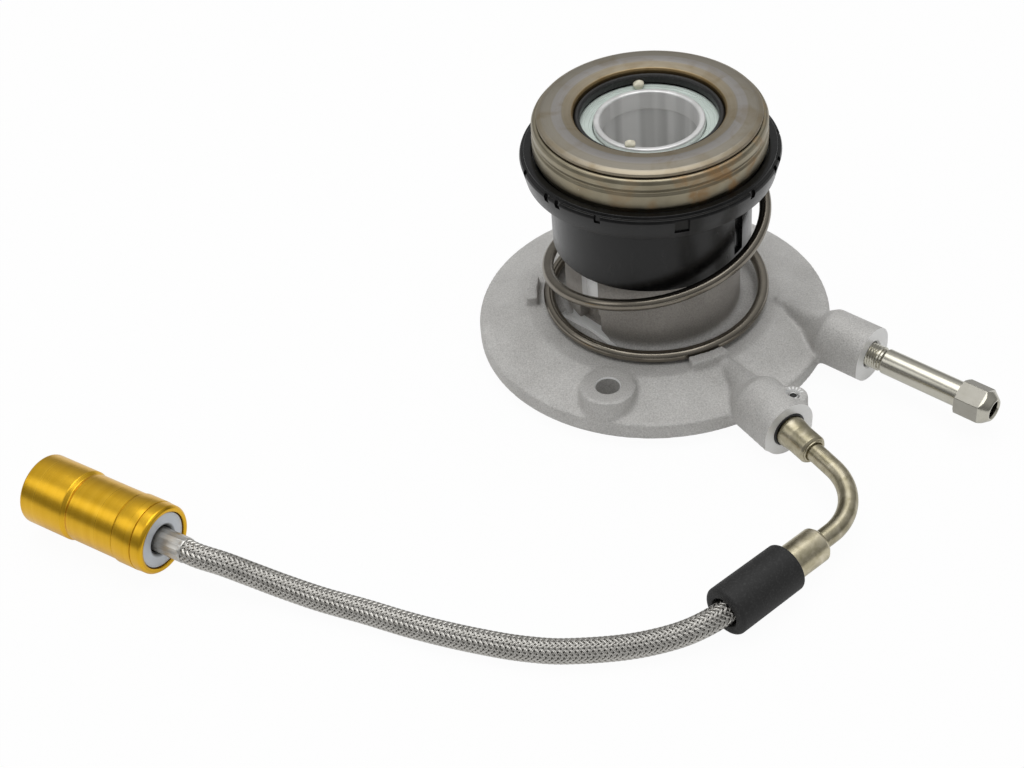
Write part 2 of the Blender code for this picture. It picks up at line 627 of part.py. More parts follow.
# Guide tube, pressed into the housing from below and sealed by a ring
def make_guide_tube():
    wide = TUBE_BORE + TUBE_RELIEF
    lip_foot = TUBE_TOP - TUBE_LIP
    flange_top = TUBE_FLANGE - SPIGOT_DEPTH
    turned("guide_tube", [
        (wide, -SPIGOT_DEPTH), (TUBE_FLANGE_RADIUS, -SPIGOT_DEPTH), (TUBE_FLANGE_RADIUS, flange_top),
        (TUBE_RADIUS, flange_top), (TUBE_RADIUS, TUBE_TOP, 0.7 * MM),
        (TUBE_BORE, TUBE_TOP, 0.9 * MM), (TUBE_BORE, lip_foot), (wide, lip_foot - TUBE_RELIEF)], TURNED)
    middle = CHAMBER_FLOOR - TUBE_SEAL_DEPTH
    centre = TUBE_RADIUS + GAP + TUBE_SEAL_SECTION
    turned("tube_seal", ring_section(centre, middle, TUBE_SEAL_SECTION, 5), RUBBER)


def ring_section(radius, height, section, sides):
    """Round section of a sealing ring."""
    turns = [2 * math.pi * k / sides for k in range(sides)]
    return [(radius + section * math.cos(t), height + section * math.sin(t)) for t in turns]


# Piston: a stepped sleeve that slides on the guide tube, with a lip seal behind it
def make_piston():
    nose = PISTON_NOSE_RADIUS
    bore = TUBE_RADIUS + GAP
    outer = CYLINDER_BORE - GAP
    foot = PISTON_SHOULDER - PISTON_BODY
    groove = nose - GROOVE_DEPTH
    groove_low = PISTON_SHOULDER + WEB_THICKNESS + GROOVE_PLACE
    groove_high = groove_low + RETAINING_RING_HEIGHT + 2 * GAP
    turned("piston", [
        (bore, foot), (outer, foot), (outer, PISTON_SHOULDER), (nose, PISTON_SHOULDER),
        (nose, groove_low), (groove, groove_low), (groove, groove_high), (nose, groove_high),
        (nose, PISTON_TOP, 0.4 * MM), (nose - NOSE_RIM, PISTON_TOP),
        (nose - NOSE_RIM - 0.3 * MM, PISTON_TOP - 0.75 * NOSE_DISH), (bore, PISTON_TOP - NOSE_DISH)],
        ANODISED)
    top = foot - GAP
    low = top - SEAL_LENGTH
    back = top - SEAL_BACK
    turned("piston_seal", [
        (bore, low), (bore + SEAL_LIP, low), (bore + SEAL_LIP + 0.6 * MM, back),
        (outer - SEAL_LIP - 0.6 * MM, back), (outer - SEAL_LIP, low), (outer, low), (outer, top),
        (bore, top)], RUBBER, steps=20)
    ring_low = groove_low + GAP
    ring_high = ring_low + RETAINING_RING_HEIGHT
    turned("retaining_ring", [
        (groove + GAP, ring_low), (nose + RETAINING_RING_REACH, ring_low),
        (nose + RETAINING_RING_REACH, ring_high), (groove + GAP, ring_high)],
        SPRING_STEEL, steps=20, arc=RETAINING_RING_ARC)


# Carrier: black moulding whose web sits on the piston's shoulder and whose skirt hides the cylinder
def make_carrier():
    web_top = WEB_BOTTOM + WEB_THICKNESS
    inside = SKIRT_RADIUS - SKIRT_WALL
    pocket = SHELL_RADIUS + GAP
    rim_low = WEB_BOTTOM - RIM_DROP
    rim_foot = max(pocket + POCKET_WALL, SPRING_ROOM + RECESS_WALL)
    rim = rim_foot + RIM_FLARE
    wall_top = web_top + RIM_RISE
    nose = PISTON_NOSE_RADIUS + GAP
    carrier = turned("carrier", [
        (nose, WEB_BOTTOM), (inside, WEB_BOTTOM), (inside, SKIRT_BOTTOM), (SKIRT_RADIUS, SKIRT_BOTTOM),
        (SKIRT_RADIUS, WEB_BOTTOM), (SPRING_ROOM, WEB_BOTTOM), (SPRING_ROOM, rim_low),
        (rim_foot, rim_low, 0.3 * MM), (rim, web_top + 0.2 * MM), (rim - 0.4 * MM, wall_top - 1.0 * MM),
        (rim - 1.3 * MM, wall_top - 1.0 * MM), (rim - 1.6 * MM, wall_top), (pocket, wall_top),
        (pocket, web_top), (nose, web_top)], PLASTIC)
    for number, angle in enumerate(SLOT_ANGLES, 1):
        slot = box(f"skirt_slot_{number}", (inside - OVERCUT, -SLOT_WIDTH / 2, SLOT_FOOT),
                   (SKIRT_RADIUS + OVERCUT, SLOT_WIDTH / 2, WEB_BOTTOM - 1.0 * MM), angle)
        boolean(carrier, slot, 'DIFFERENCE')
    for number, angle in enumerate(POCKET_ANGLES, 1):
        window = box(f"rim_pocket_{number}", (rim_foot - 0.2 * MM, -POCKET_WIDTH / 2, WEB_BOTTOM),
                     (rim + OVERCUT, POCKET_WIDTH / 2, web_top + 0.6 * MM), angle)
        boolean(carrier, window, 'DIFFERENCE')
        for side, offset in enumerate(NOTCH_OFFSETS, 1):
            notch = box(f"rim_notch_{number}_{side}",
                        (rim - 1.0 * MM, -NOTCH_WIDTH / 2, web_top - 1.4 * MM),
                        (rim + OVERCUT, NOTCH_WIDTH / 2, web_top + 2.0 * MM), angle + offset)
            boolean(carrier, notch, 'DIFFERENCE')


# Release bearing: a pressed shell holds the lower race, balls and cage under the spinning race
def make_bearing():
    inside = SHELL_RADIUS - SHELL_WALL
    make_shell(inside)
    circle = SHELL_RADIUS - BALL_PLACE
    reach = BALL_RADIUS + GAP
    track = []
    for angle in TRACK_ANGLES:
        turn = math.radians(angle)
        track.append((circle + reach * math.sin(turn), BALL_HEIGHT - reach * math.cos(turn)))
    track_low = track[0][1]
    track_high = 2 * BALL_HEIGHT - track_low
    race_low = BEARING_FLOOR + SHELL_WALL + GAP
    race_bore = SHELL_BORE + 1.0 * MM
    turned("lower_race", [
        (race_bore, race_low), (inside - GAP, race_low), (inside - GAP, track_low)] + track + [
        (race_bore, track_low)], BRIGHT_STEEL)
    make_thrust_race([(r, 2 * BALL_HEIGHT - z) for r, z in reversed(track)], track_high)

    cage_low = track_low + GAP
    cage_high = track_high - GAP
    cage_bore = SHELL_BORE + 0.6 * MM
    cage_side = inside - 0.6 * MM
    cage = turned("bearing_cage", [
        (cage_bore, cage_low), (cage_side, cage_low), (cage_side, cage_high), (cage_bore, cage_high)],
        PLASTIC, steps=20)
    places = []
    for number in range(BALL_COUNT):
        turn = 2 * math.pi * (number + 0.37) / BALL_COUNT
        places.append(Vector((circle * math.cos(turn), circle * math.sin(turn), BALL_HEIGHT)))
    pockets = repeated("cage_pockets", reach / math.cos(math.pi / 6), BALL_RADIUS, places)
    boolean(cage, pockets, 'DIFFERENCE')
    for number, place in enumerate(places, 1):
        ball = turned(f"bearing_ball_{number:02d}", ball_section(BALL_RADIUS), BRIGHT_STEEL,
                      steps=8, ring=False)
        ball.location = place

    inner = PISTON_NOSE_RADIUS + INNER_SEAL_ROOM
    outer = inner + INNER_SEAL_WALL
    lip = inner - INNER_SEAL_LEAN
    foot = BEARING_FLOOR + INNER_SEAL_FOOT
    lip_low = PISTON_TOP + 0.7 * MM
    top = RACE_CROWN - INNER_SEAL_DROP
    turned("inner_seal", [
        (inner, foot), (outer, foot), (outer, top - 0.7 * MM), (outer - 0.5 * MM, top),
        (lip + 0.7 * MM, top), (lip, top - 0.8 * MM), (lip, lip_low), (inner, lip_low)], RUBBER)


def ball_section(radius):
    """Half circle from pole to pole."""
    turns = [math.pi * k / 4 for k in range(5)]
    return [(radius * math.sin(t), -radius * math.cos(t)) for t in turns]


def make_shell(inside):
    """Pressed shell, rolled in above and below a groove and closed round the race by a lip."""
    side = SHELL_RADIUS
    low = BEARING_FLOOR
    top = RACE_CROWN - RACE_RIM - GAP
    lip = side - RACE_INSET - RACE_OVERHANG + LIP_PLAY
    turned("bearing_shell", [
        (SHELL_BORE, low), (side - 1.2 * MM, low, 0.7 * MM), (side, low + 3.0 * MM, 1.9 * MM),
        (side, top - 5.8 * MM, 0.4 * MM), (side - 0.7 * MM, top - 4.8 * MM),
        (side - 0.1 * MM, top - 3.2 * MM, 0.4 * MM), (side - 0.1 * MM, top - 1.5 * MM),
        (side - 0.8 * MM, top, 1.0 * MM), (lip, top), (lip, top - 0.9 * MM), (inside, top - 2.0 * MM),
        (inside, low + SHELL_WALL), (SHELL_BORE, low + SHELL_WALL)], STEEL)


def make_thrust_race(track, underside):
    """Race that turns with the clutch: a neck inside the balls, their track, and the crowned top."""
    rim = SHELL_RADIUS - RACE_INSET
    body = rim - RACE_OVERHANG
    rim_low = RACE_CROWN - RACE_RIM
    bore = PISTON_NOSE_RADIUS + RACE_BORE_ROOM
    wide = bore + RACE_RELIEF
    neck = bore + RACE_NECK
    foot = BEARING_FLOOR + NECK_FOOT
    turned("thrust_race", [
        (wide, foot), (neck, foot), (neck, underside)] + track + [
        (body - 0.5 * MM, underside, 0.3 * MM), (body, rim_low - 1.3 * MM), (body, rim_low),
        (rim, rim_low), (rim, rim_low + 0.4 * MM), (rim - 0.3 * MM, rim_low + 1.1 * MM),
        (rim - 1.8 * MM, RACE_CROWN - 0.3 * MM), (rim - CONTACT_OUTSET, RACE_CROWN),
        (bore + CONTACT_INSET, RACE_CROWN), (bore + 0.4 * MM, RACE_CROWN - 0.6 * MM),
        (bore, RACE_CROWN - 1.4 * MM), (bore, RACE_CROWN - 3.0 * MM),
        (wide, RACE_CROWN - 3.6 * MM)], STEEL)


# Preload spring: stands on the housing's seat and presses the carrier up
def make_preload_spring():
    low = SEAT_HEIGHT + GAP + WIRE_RADIUS
    high = WEB_BOTTOM - GAP - WIRE_RADIUS
    angles = [a for a, _ in COIL_RISE]
    heights = [low + (high - low) * share for _, share in COIL_RISE]
    climbs = [(heights[i + 1] - heights[i]) / (angles[i + 1] - angles[i])
              for i in range(len(angles) - 1)]
    slopes = [0.0]
    for before, after in zip(climbs, climbs[1:]):
        slopes.append(2.0 * before * after / (before + after) if before * after > 0.0 else 0.0)
    slopes.append(0.0)
    path = []
    count = round((angles[-1] - angles[0]) / COIL_STEP)
    for k in range(count + 1):
        angle = angles[0] + (angles[-1] - angles[0]) * k / count
        i = max(j for j in range(len(climbs)) if angles[j] <= angle)
        span = angles[i + 1] - angles[i]
        t = (angle - angles[i]) / span
        height = ((1 + 2 * t) * (1 - t) ** 2 * heights[i] + t * (1 - t) ** 2 * span * slopes[i]
                  + t * t * (3 - 2 * t) * heights[i + 1] - t * t * (1 - t) * span * slopes[i + 1])
        turn = math.radians(angle)
        path.append(Vector((COIL_SHIFT + COIL_RADIUS * math.cos(turn), COIL_RADIUS * math.sin(turn),
                            height)))
    add("preload_spring", loft(swept_rings(path, WIRE_RADIUS, 6)), SPRING_STEEL)


# Bleed screw: a hollow screw with a cone seat, a long shank and a hexagon nozzle
def make_bleed_screw(port):
    envelope = turned("hexagon_envelope", [
        (0.0, HEX_START), (HEX_WIDTH * 0.6, HEX_START), (HEX_WIDTH * 0.6, HEX_END),
        (NOZZLE_RADIUS, NOZZLE_END), (0.0, NOZZLE_END)], None, port, FINE, ring=False)
    corner = HEX_WIDTH / math.sqrt(3.0)
    turns = [math.radians(60.0 * k + HEX_TWIST) for k in range(6)]
    rings = []
    for height in (HEX_START - OVERCUT, NOZZLE_END + OVERCUT):
        rings.append([(corner * math.cos(t), corner * math.sin(t), height) for t in turns])
    hexagon = add("hexagon", loft(rings), None, port)
    boolean(hexagon, envelope, 'INTERSECT')

    undercut = SCREW_RADIUS - SCREW_NECK
    pilot_end = -SCREW_TIP + SCREW_PILOT_LENGTH
    screw = turned("bleed_screw", [
        (0.0, -SCREW_TIP), (SCREW_TIP_RADIUS, -SCREW_TIP), (SCREW_PILOT_RADIUS, -SCREW_TIP + SCREW_CONE),
        (SCREW_PILOT_RADIUS, pilot_end), (SCREW_RADIUS, pilot_end + 1.0 * MM),
        (SCREW_RADIUS, SCREW_THREAD_END), (undercut, SCREW_THREAD_END + 0.2 * MM),
        (undercut, SCREW_THREAD_END + 0.8 * MM), (SHANK_RADIUS, SCREW_THREAD_END + 1.8 * MM, 0.4 * MM),
        (SHANK_RADIUS, HEX_START + 2.0 * MM), (0.0, HEX_START + 2.0 * MM)],
        BRIGHT_STEEL, port, FINE, ring=False)
    boolean(screw, hexagon, 'UNION')
    bore_start = -SCREW_TIP + CROSS_HOLE_PLACE - 0.2 * MM
    bore = turned("nozzle_bore", [
        (0.0, bore_start), (SCREW_BORE, bore_start), (SCREW_BORE, HEX_END - 3.0 * MM),
        (NOZZLE_BORE, HEX_END - 1.5 * MM), (NOZZLE_BORE, NOZZLE_END + OVERCUT),
        (0.0, NOZZLE_END + OVERCUT)], None, port, FINE, ring=False)
    boolean(screw, bore, 'DIFFERENCE')
    reach = SCREW_RADIUS + OVERCUT
    cross = turned("cross_hole", [
        (0.0, -reach), (CROSS_HOLE_RADIUS, -reach), (CROSS_HOLE_RADIUS, reach), (0.0, reach)],
        None, port, 8, ring=False)
    cross.location = (0.0, 0.0, -SCREW_TIP + CROSS_HOLE_PLACE)
    cross.rotation_euler = (0.0, math.pi / 2, 0.0)
    boolean(screw, cross, 'DIFFERENCE')


# Inlet: a plug-in fitting with its sealing ring, held by a roll pin that crosses its groove
def make_inlet(port):
    groove_low = -FITTING_NOSE_END + FITTING_GROOVE_PLACE
    groove_high = groove_low + FITTING_GROOVE_WIDTH
    seal_radius = FITTING_NOSE_RADIUS + GAP / 2 - INLET_SEAL_SECTION
    groove = seal_radius - INLET_SEAL_SECTION - GAP / 2
    pin_low = -PIN_PLACE - PIN_RADIUS - 1.2 * GAP
    pin_high = -PIN_PLACE + PIN_RADIUS + 1.2 * GAP
    waist = PIN_OFFSET - PIN_RADIUS - GAP
    pipe = PIPE_RADIUS + GAP
    pipe_seat = FITTING_END - PIPE_INSERTION - GAP
    collar_end = FITTING_COLLAR_START + FITTING_COLLAR
    turned("inlet_fitting", [
        (FITTING_BORE, -FITTING_NOSE_END), (FITTING_NOSE_RADIUS, -FITTING_NOSE_END, 0.4 * MM),
        (FITTING_NOSE_RADIUS, groove_low), (groove, groove_low), (groove, groove_high),
        (FITTING_NOSE_RADIUS, groove_high), (FITTING_NOSE_RADIUS, -FITTING_SHOULDER),
        (FITTING_RADIUS, -FITTING_SHOULDER), (FITTING_RADIUS, pin_low), (waist, pin_low),
        (waist, pin_high), (FITTING_RADIUS, pin_high), (FITTING_RADIUS, FITTING_COLLAR_START),
        (FITTING_COLLAR_RADIUS, FITTING_COLLAR_START), (FITTING_COLLAR_RADIUS, collar_end),
        (FITTING_OUTER_RADIUS, collar_end + FITTING_TAPER),
        (FITTING_OUTER_RADIUS, FITTING_END, 1.2 * MM), (pipe, FITTING_END), (pipe, pipe_seat),
        (FITTING_BORE, pipe_seat)], ZINC, port, FINE)
    turned("inlet_seal", ring_section(seal_radius, (groove_low + groove_high) / 2, INLET_SEAL_SECTION, 6),
           RUBBER, port, FINE)
    pin = turned("roll_pin", [
        (PIN_BORE, PIN_FOOT), (PIN_RADIUS, PIN_FOOT, 0.2 * MM), (PIN_RADIUS, PIN_TOP, 0.3 * MM),
        (PIN_BORE, PIN_TOP)], BRIGHT_STEEL, steps=10, arc=PIN_ARC)
    pin.location = pin_place(port)


# Elbow pipe from the inlet fitting to the hose end, bent about one radius as it drops
def elbow_path(port, hose_end):
    start_turn = math.radians(INLET_HEADING)
    end_turn = math.radians(HOSE_END_HEADING)
    ahead = Vector((math.cos(start_turn), math.sin(start_turn)))
    onward = Vector((math.cos(end_turn), math.sin(end_turn)))
    first = Vector(port.location[:2])
    last = Vector(hose_end.location[:2])
    offset = last - first
    run = offset.cross(onward) / ahead.cross(onward)
    corner = first + ahead * run
    bend = end_turn - start_turn
    tangent = ELBOW_RADIUS * math.tan(abs(bend) / 2)
    centre = corner - ahead * tangent + Vector((ahead.y, -ahead.x)) * ELBOW_RADIUS
    flat = [first + ahead * s for s in (FITTING_END - PIPE_INSERTION, FITTING_END + PIPE_LEAD)]
    for k in range(ELBOW_STEPS + 1):
        turn = start_turn + math.pi / 2 + bend * k / ELBOW_STEPS
        flat.append(centre + ELBOW_RADIUS * Vector((math.cos(turn), math.sin(turn))))
    flat += [last, last + onward * FERRULE_INSERTION]
    lengths = [0.0]
    for a, b in zip(flat, flat[1:]):
        lengths.append(lengths[-1] + (b - a).length)
    fall_start, fall_end = lengths[1], lengths[-2]
    path = []
    for point, length in zip(flat, lengths):
        t = min(max((length - fall_start) / (fall_end - fall_start), 0.0), 1.0)
        height = PORT_HEIGHT + (HOSE_END_HEIGHT - PORT_HEIGHT) * t * t * (3 - 2 * t)
        path.append(Vector((point.x, point.y, height)))
    return path


def make_elbow(port, hose_end):
    path = elbow_path(port, hose_end)
    outer = swept_rings(path, PIPE_RADIUS, 10)
    inner = swept_rings(path, PIPE_RADIUS - PIPE_WALL, 10)
    add("elbow_pipe", loft(outer + inner[::-1], wrap=True), ZINC)


# Hose end: a crimped ferrule inside a rubber sleeve
def make_hose_end(hose_end):
    pipe = PIPE_RADIUS + GAP
    socket = FERRULE_INSERTION + GAP
    turned("hose_ferrule", [
        (pipe, 0.0), (FERRULE_RADIUS, 0.0, 1.4 * MM), (FERRULE_RADIUS, FERRULE_LENGTH, 0.6 * MM),
        (FITTING_BORE, FERRULE_LENGTH), (FITTING_BORE, socket), (pipe, socket)], ZINC, hose_end, FINE)
    bore = FERRULE_RADIUS + GAP
    hose = HOSE_RADIUS + 2 * GAP
    end = SLEEVE_START + SLEEVE_LENGTH
    step = FERRULE_LENGTH + GAP
    turned("rubber_sleeve", [
        (bore, SLEEVE_START), (SLEEVE_RADIUS, SLEEVE_START, 0.8 * MM), (SLEEVE_RADIUS, end, 1.6 * MM),
        (hose + SLEEVE_LIP, end, 0.5 * MM), (hose, end - SLEEVE_MOUTH), (hose, step), (bore, step)],
        RUBBER, hose_end, 16)


def make_hose():
    curve = bpy.data.curves.new("braided_hose", 'CURVE')
    curve.dimensions = '3D'
    curve.bevel_depth = HOSE_RADIUS
    curve.bevel_resolution = 2
    curve.use_fill_caps = True
    curve.resolution_u = 1
    curve.render_resolution_u = 0
    points = smooth_curve(HOSE_ROUTE, round(HOSE_POINTS))
    spline = curve.splines.new('POLY')
    spline.points.add(len(points) - 1)
    for target, point in zip(spline.points, points):
        target.co = (*point, 1.0)
    curve.materials.append(finish("braided_hose", *BRAID[1:]))
    hose = bpy.data.objects.new("braided_hose", curve)
    bpy.context.scene.collection.objects.link(hose)


# Quick coupling: the swaged ferrule grips the hose, and the body carries the socket and its seal
def make_coupling_body(axis):
    crimp_bore = CRIMP_RADIUS + GAP
    turned("swaged_ferrule", [
        (FITTING_BORE, CRIMP_START), (CRIMP_RADIUS, CRIMP_START, 0.4 * MM),
        (CRIMP_RADIUS, CRIMP_END, 0.3 * MM), (FITTING_BORE, CRIMP_END)], BRIGHT_STEEL, axis, FINE)
    turned("coupling_tail", [
        (crimp_bore, TAIL_FACE + TAIL_DISH), (crimp_bore + 0.8 * MM, TAIL_FACE),
        (TAIL_RADIUS, TAIL_FACE, 0.2 * MM), (TAIL_RADIUS, TAIL_END), (TAIL_BORE, TAIL_END),
        (TAIL_BORE, CRIMP_END + GAP), (crimp_bore, CRIMP_END + GAP)], GREY, axis, 16)

    foot = TAIL_END + GAP
    ring_low = RING_START - GAP
    ring_high = RING_START + RING_WIDTH + GAP
    seal_centre = SOCKET_RADIUS - GAP / 2 + SOCKET_SEAL_SECTION
    seal_low = SOCKET_SEAL_PLACE - SOCKET_SEAL_SECTION - GAP
    seal_high = SOCKET_SEAL_PLACE + SOCKET_SEAL_SECTION + GAP
    seal_groove = seal_centre + SOCKET_SEAL_SECTION + GAP
    body = turned("coupling_body", [
        (CHAMBER_RADIUS, foot), (BODY_COLLAR_RADIUS, foot), (BODY_COLLAR_RADIUS, BODY_COLLAR_END),
        (BODY_RADIUS, BODY_COLLAR_END), (BODY_RADIUS, ring_low), (RING_GROOVE_RADIUS, ring_low),
        (RING_GROOVE_RADIUS, ring_high), (BODY_RADIUS, ring_high), (BODY_RADIUS, BODY_END, 0.5 * MM),
        (SOCKET_RADIUS, BODY_END, 0.6 * MM), (SOCKET_RADIUS, seal_high), (seal_groove, seal_high),
        (seal_groove, seal_low), (SOCKET_RADIUS, seal_low), (SOCKET_RADIUS, SOCKET_START),
        (VALVE_OPENING, SOCKET_START), (VALVE_OPENING, CHAMBER_END + CHAMBER_CONE),
        (CHAMBER_RADIUS, CHAMBER_END)], BRIGHT_STEEL, axis, FINE)
    turned("coupling_seal", ring_section(seal_centre, SOCKET_SEAL_PLACE, SOCKET_SEAL_SECTION, 6),
           RUBBER, axis, FINE)

    for number in range(1, LOCK_BALL_COUNT + 1):
        turn = 2 * math.pi * (number - 1) / LOCK_BALL_COUNT
        place = Vector((LOCK_BALL_CENTRE * math.cos(turn), LOCK_BALL_CENTRE * math.sin(turn),
                        LOCK_BALL_PLACE))
        hole = turned(f"lock_hole_{number}", [
            (0.0, -LOCK_HOLE_REACH), (LOCK_BALL_RADIUS + GAP, -LOCK_HOLE_REACH),
            (LOCK_BALL_RADIUS + GAP, LOCK_HOLE_REACH), (0.0, LOCK_HOLE_REACH)],
            None, axis, 8, ring=False)
        hole.location = place
        hole.rotation_euler = (0.0, math.pi / 2, turn)
        boolean(body, hole, 'DIFFERENCE')
        ball = turned(f"locking_ball_{number}", ball_section(LOCK_BALL_RADIUS), BRIGHT_STEEL, axis,
                      6, ring=False)
        ball.location = place


# Coupling sleeve: slides back on the body against its spring, so that the balls can move out
def make_coupling_sleeve(axis):
    turned("coupling_sleeve", [
        (SLEEVE_BORE, 0.3 * MM), (SLEEVE_BORE + 0.4 * MM, 0.0), (CAP_FACE_RADIUS, 0.2 * MM),
        (CAP_SHOULDER_RADIUS, CAP_SHOULDER), (CAP_RADIUS - 0.25 * MM, CAP_TAPER),
        (CAP_RADIUS, CAP_START), (CAP_RADIUS, CAP_END), (GRIP_RADIUS, CAP_END + 0.4 * MM),
        (GRIP_RADIUS, GRIP_END), (MOUTH_RADIUS, GRIP_END + GRIP_STEP),
        (MOUTH_RADIUS, COUPLING_LENGTH, 0.6 * MM), (SLEEVE_BORE, COUPLING_LENGTH, 0.4 * MM),
        (SLEEVE_BORE, GUIDE_END), (GUIDE_BORE, GUIDE_END), (GUIDE_BORE, GUIDE_START),
        (SLEEVE_BORE, GUIDE_START), (SLEEVE_BORE, LAND_END), (LAND_BORE, LAND_END),
        (LAND_BORE, LAND_START), (SLEEVE_BORE, LAND_START)], GOLD, axis, 18)
    ring_bore = RING_GROOVE_RADIUS + GAP
    ring_side = SLEEVE_BORE - 2 * GAP
    ring_end = RING_START + RING_WIDTH
    turned("sleeve_stop_ring", [
        (ring_bore, RING_START), (ring_side, RING_START), (ring_side, ring_end), (ring_bore, ring_end)],
        SPRING_STEEL, axis, steps=12, arc=RING_ARC)
    room = (SLEEVE_BORE + BODY_RADIUS) / 2
    low = BODY_COLLAR_END + GAP + COUPLING_WIRE
    high = LAND_START - GAP - COUPLING_WIRE
    coil = helix(room, 0.0, COUPLING_TURNS * 360.0, low, high, SPRING_STEP)
    add("coupling_spring", loft(swept_rings(coil, COUPLING_WIRE, 3)), SPRING_STEEL, axis)


# Check valve of the coupling: a poppet that its spring presses into the socket's mouth
def make_coupling_valve(axis):
    rear = TAIL_END + POPPET_TAIL
    seat = CHAMBER_END - GAP
    shoulder = seat - POPPET_HEAD
    head = CHAMBER_RADIUS - GAP
    tip = SOCKET_START + POPPET_PIN
    cone_end = seat + 1.4 * MM
    turned("coupling_poppet", [
        (0.0, rear), (POPPET_STEM, rear), (POPPET_STEM, shoulder), (head, shoulder),
        (head, seat - 0.2 * MM), (VALVE_OPENING - GAP, cone_end), (POPPET_STEM, cone_end),
        (POPPET_STEM, tip, 0.4 * MM), (0.0, tip)], BRIGHT_STEEL, axis, FINE, ring=False)
    mean = (POPPET_STEM + CHAMBER_RADIUS) / 2
    low = TAIL_END + GAP + POPPET_WIRE
    high = shoulder - GAP - POPPET_WIRE
    coil = helix(mean, 0.0, POPPET_TURNS * 360.0, low, high, SPRING_STEP)
    add("poppet_spring", loft(swept_rings(coil, POPPET_WIRE, 3)), SPRING_STEEL, axis)


bleed_axis = marker("bleed_axis", (*BLEED_FACE, PORT_HEIGHT), BLEED_HEADING)
inlet_axis = marker("inlet_axis", (*INLET_FACE, PORT_HEIGHT), INLET_HEADING)
hose_end_axis = marker("hose_end_axis", (*HOSE_END_POINT, HOSE_END_HEIGHT), HOSE_END_HEADING)
coupling_axis = marker("coupling_axis", (*COUPLING_TAIL, MOUTH_RADIUS - SPIGOT_DEPTH), COUPLING_HEADING)

make_housing(bleed_axis, inlet_axis)
make_guide_tube()
make_piston()
make_carrier()
make_bearing()
make_preload_spring()
make_bleed_screw(bleed_axis)
make_inlet(inlet_axis)
make_elbow(inlet_axis, hose_end_axis)
make_hose_end(hose_end_axis)
make_hose()
make_coupling_body(coupling_axis)
make_coupling_sleeve(coupling_axis)
make_coupling_valve(coupling_axis)
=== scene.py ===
"""Looks of a concentric clutch slave cylinder with a release bearing, a bleed screw, an elbow fitting
and a braided hose that ends in a quick coupling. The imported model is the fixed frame, in metres."""

import math

import bmesh
import bpy
import numpy as np
from mathutils import Matrix, Quaternion, Vector


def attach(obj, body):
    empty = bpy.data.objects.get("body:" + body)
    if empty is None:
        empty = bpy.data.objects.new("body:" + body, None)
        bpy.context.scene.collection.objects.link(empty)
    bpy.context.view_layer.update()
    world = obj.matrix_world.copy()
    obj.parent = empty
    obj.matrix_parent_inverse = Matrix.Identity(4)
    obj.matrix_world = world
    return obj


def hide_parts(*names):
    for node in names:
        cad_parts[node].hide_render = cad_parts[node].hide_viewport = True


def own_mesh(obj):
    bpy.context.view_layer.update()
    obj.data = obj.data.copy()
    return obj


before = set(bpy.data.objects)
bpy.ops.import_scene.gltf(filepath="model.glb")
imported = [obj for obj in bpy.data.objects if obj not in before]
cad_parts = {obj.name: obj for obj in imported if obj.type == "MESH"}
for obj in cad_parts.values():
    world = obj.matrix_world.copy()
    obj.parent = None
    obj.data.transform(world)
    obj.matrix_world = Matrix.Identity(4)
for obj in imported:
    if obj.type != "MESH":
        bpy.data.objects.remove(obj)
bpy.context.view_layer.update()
scene = bpy.context.scene
scene.view_settings.view_transform = 'Standard'

# Camera
# It stands in front of the part and looks down at it at about 41 degrees, with a slight roll. Its
# long lens keeps the cylinder and the far end of the hose in one picture.
CAMERA_PLACE = Vector((0.0, -0.51973, 0.42801))
CAMERA_AIM = Vector((-0.051091, -0.033152, 0.0))
CAMERA_ROLL = math.radians(-5.2345)
camera_data = bpy.data.cameras.new("camera")
camera_data.sensor_width = 36.0
camera_data.lens = 63.806
camera_data.clip_start = 0.01
camera = bpy.data.objects.new("camera", camera_data)
scene.collection.objects.link(camera)
camera.location = CAMERA_PLACE
camera.rotation_mode = 'QUATERNION'
level_view = (CAMERA_AIM - CAMERA_PLACE).to_track_quat('-Z', 'Y')
camera.rotation_quaternion = level_view @ Quaternion((0.0, 0.0, 1.0), CAMERA_ROLL)
scene.camera = camera


# Studio
# A white table in a white surround, lit from above by a broad soft lamp and from the left by a
# smaller one. The camera sees both as white, while the metal mirrors a dimmer room.
class Value:
    """Output socket of a shader node, whose arithmetic adds Math nodes."""

    def __init__(self, shader, socket):
        self.shader = shader
        self.socket = socket

    def math(self, operation, *terms):
        return self.shader.node("Math", {"operation": operation}, dict(enumerate(terms)))

    def __add__(self, other):
        return self.math('ADD', self, other)

    def __rsub__(self, other):
        return self.math('SUBTRACT', other, self)

    def __mul__(self, other):
        return self.math('MULTIPLY', self, other)

    __radd__ = __add__
    __rmul__ = __mul__

    def rise(self, low, high):
        """0 below low, 1 above high, and smooth between them."""
        return self.shader.node("MapRange", {"interpolation_type": 'SMOOTHSTEP'},
                                {0: self, 1: low, 2: high, 3: 0.0, 4: 1.0})

    def band(self, low, high, edge):
        """1 between low and high, with soft edges."""
        return self.rise(low - edge, low + edge) * (1.0 - self.rise(high - edge, high + edge))


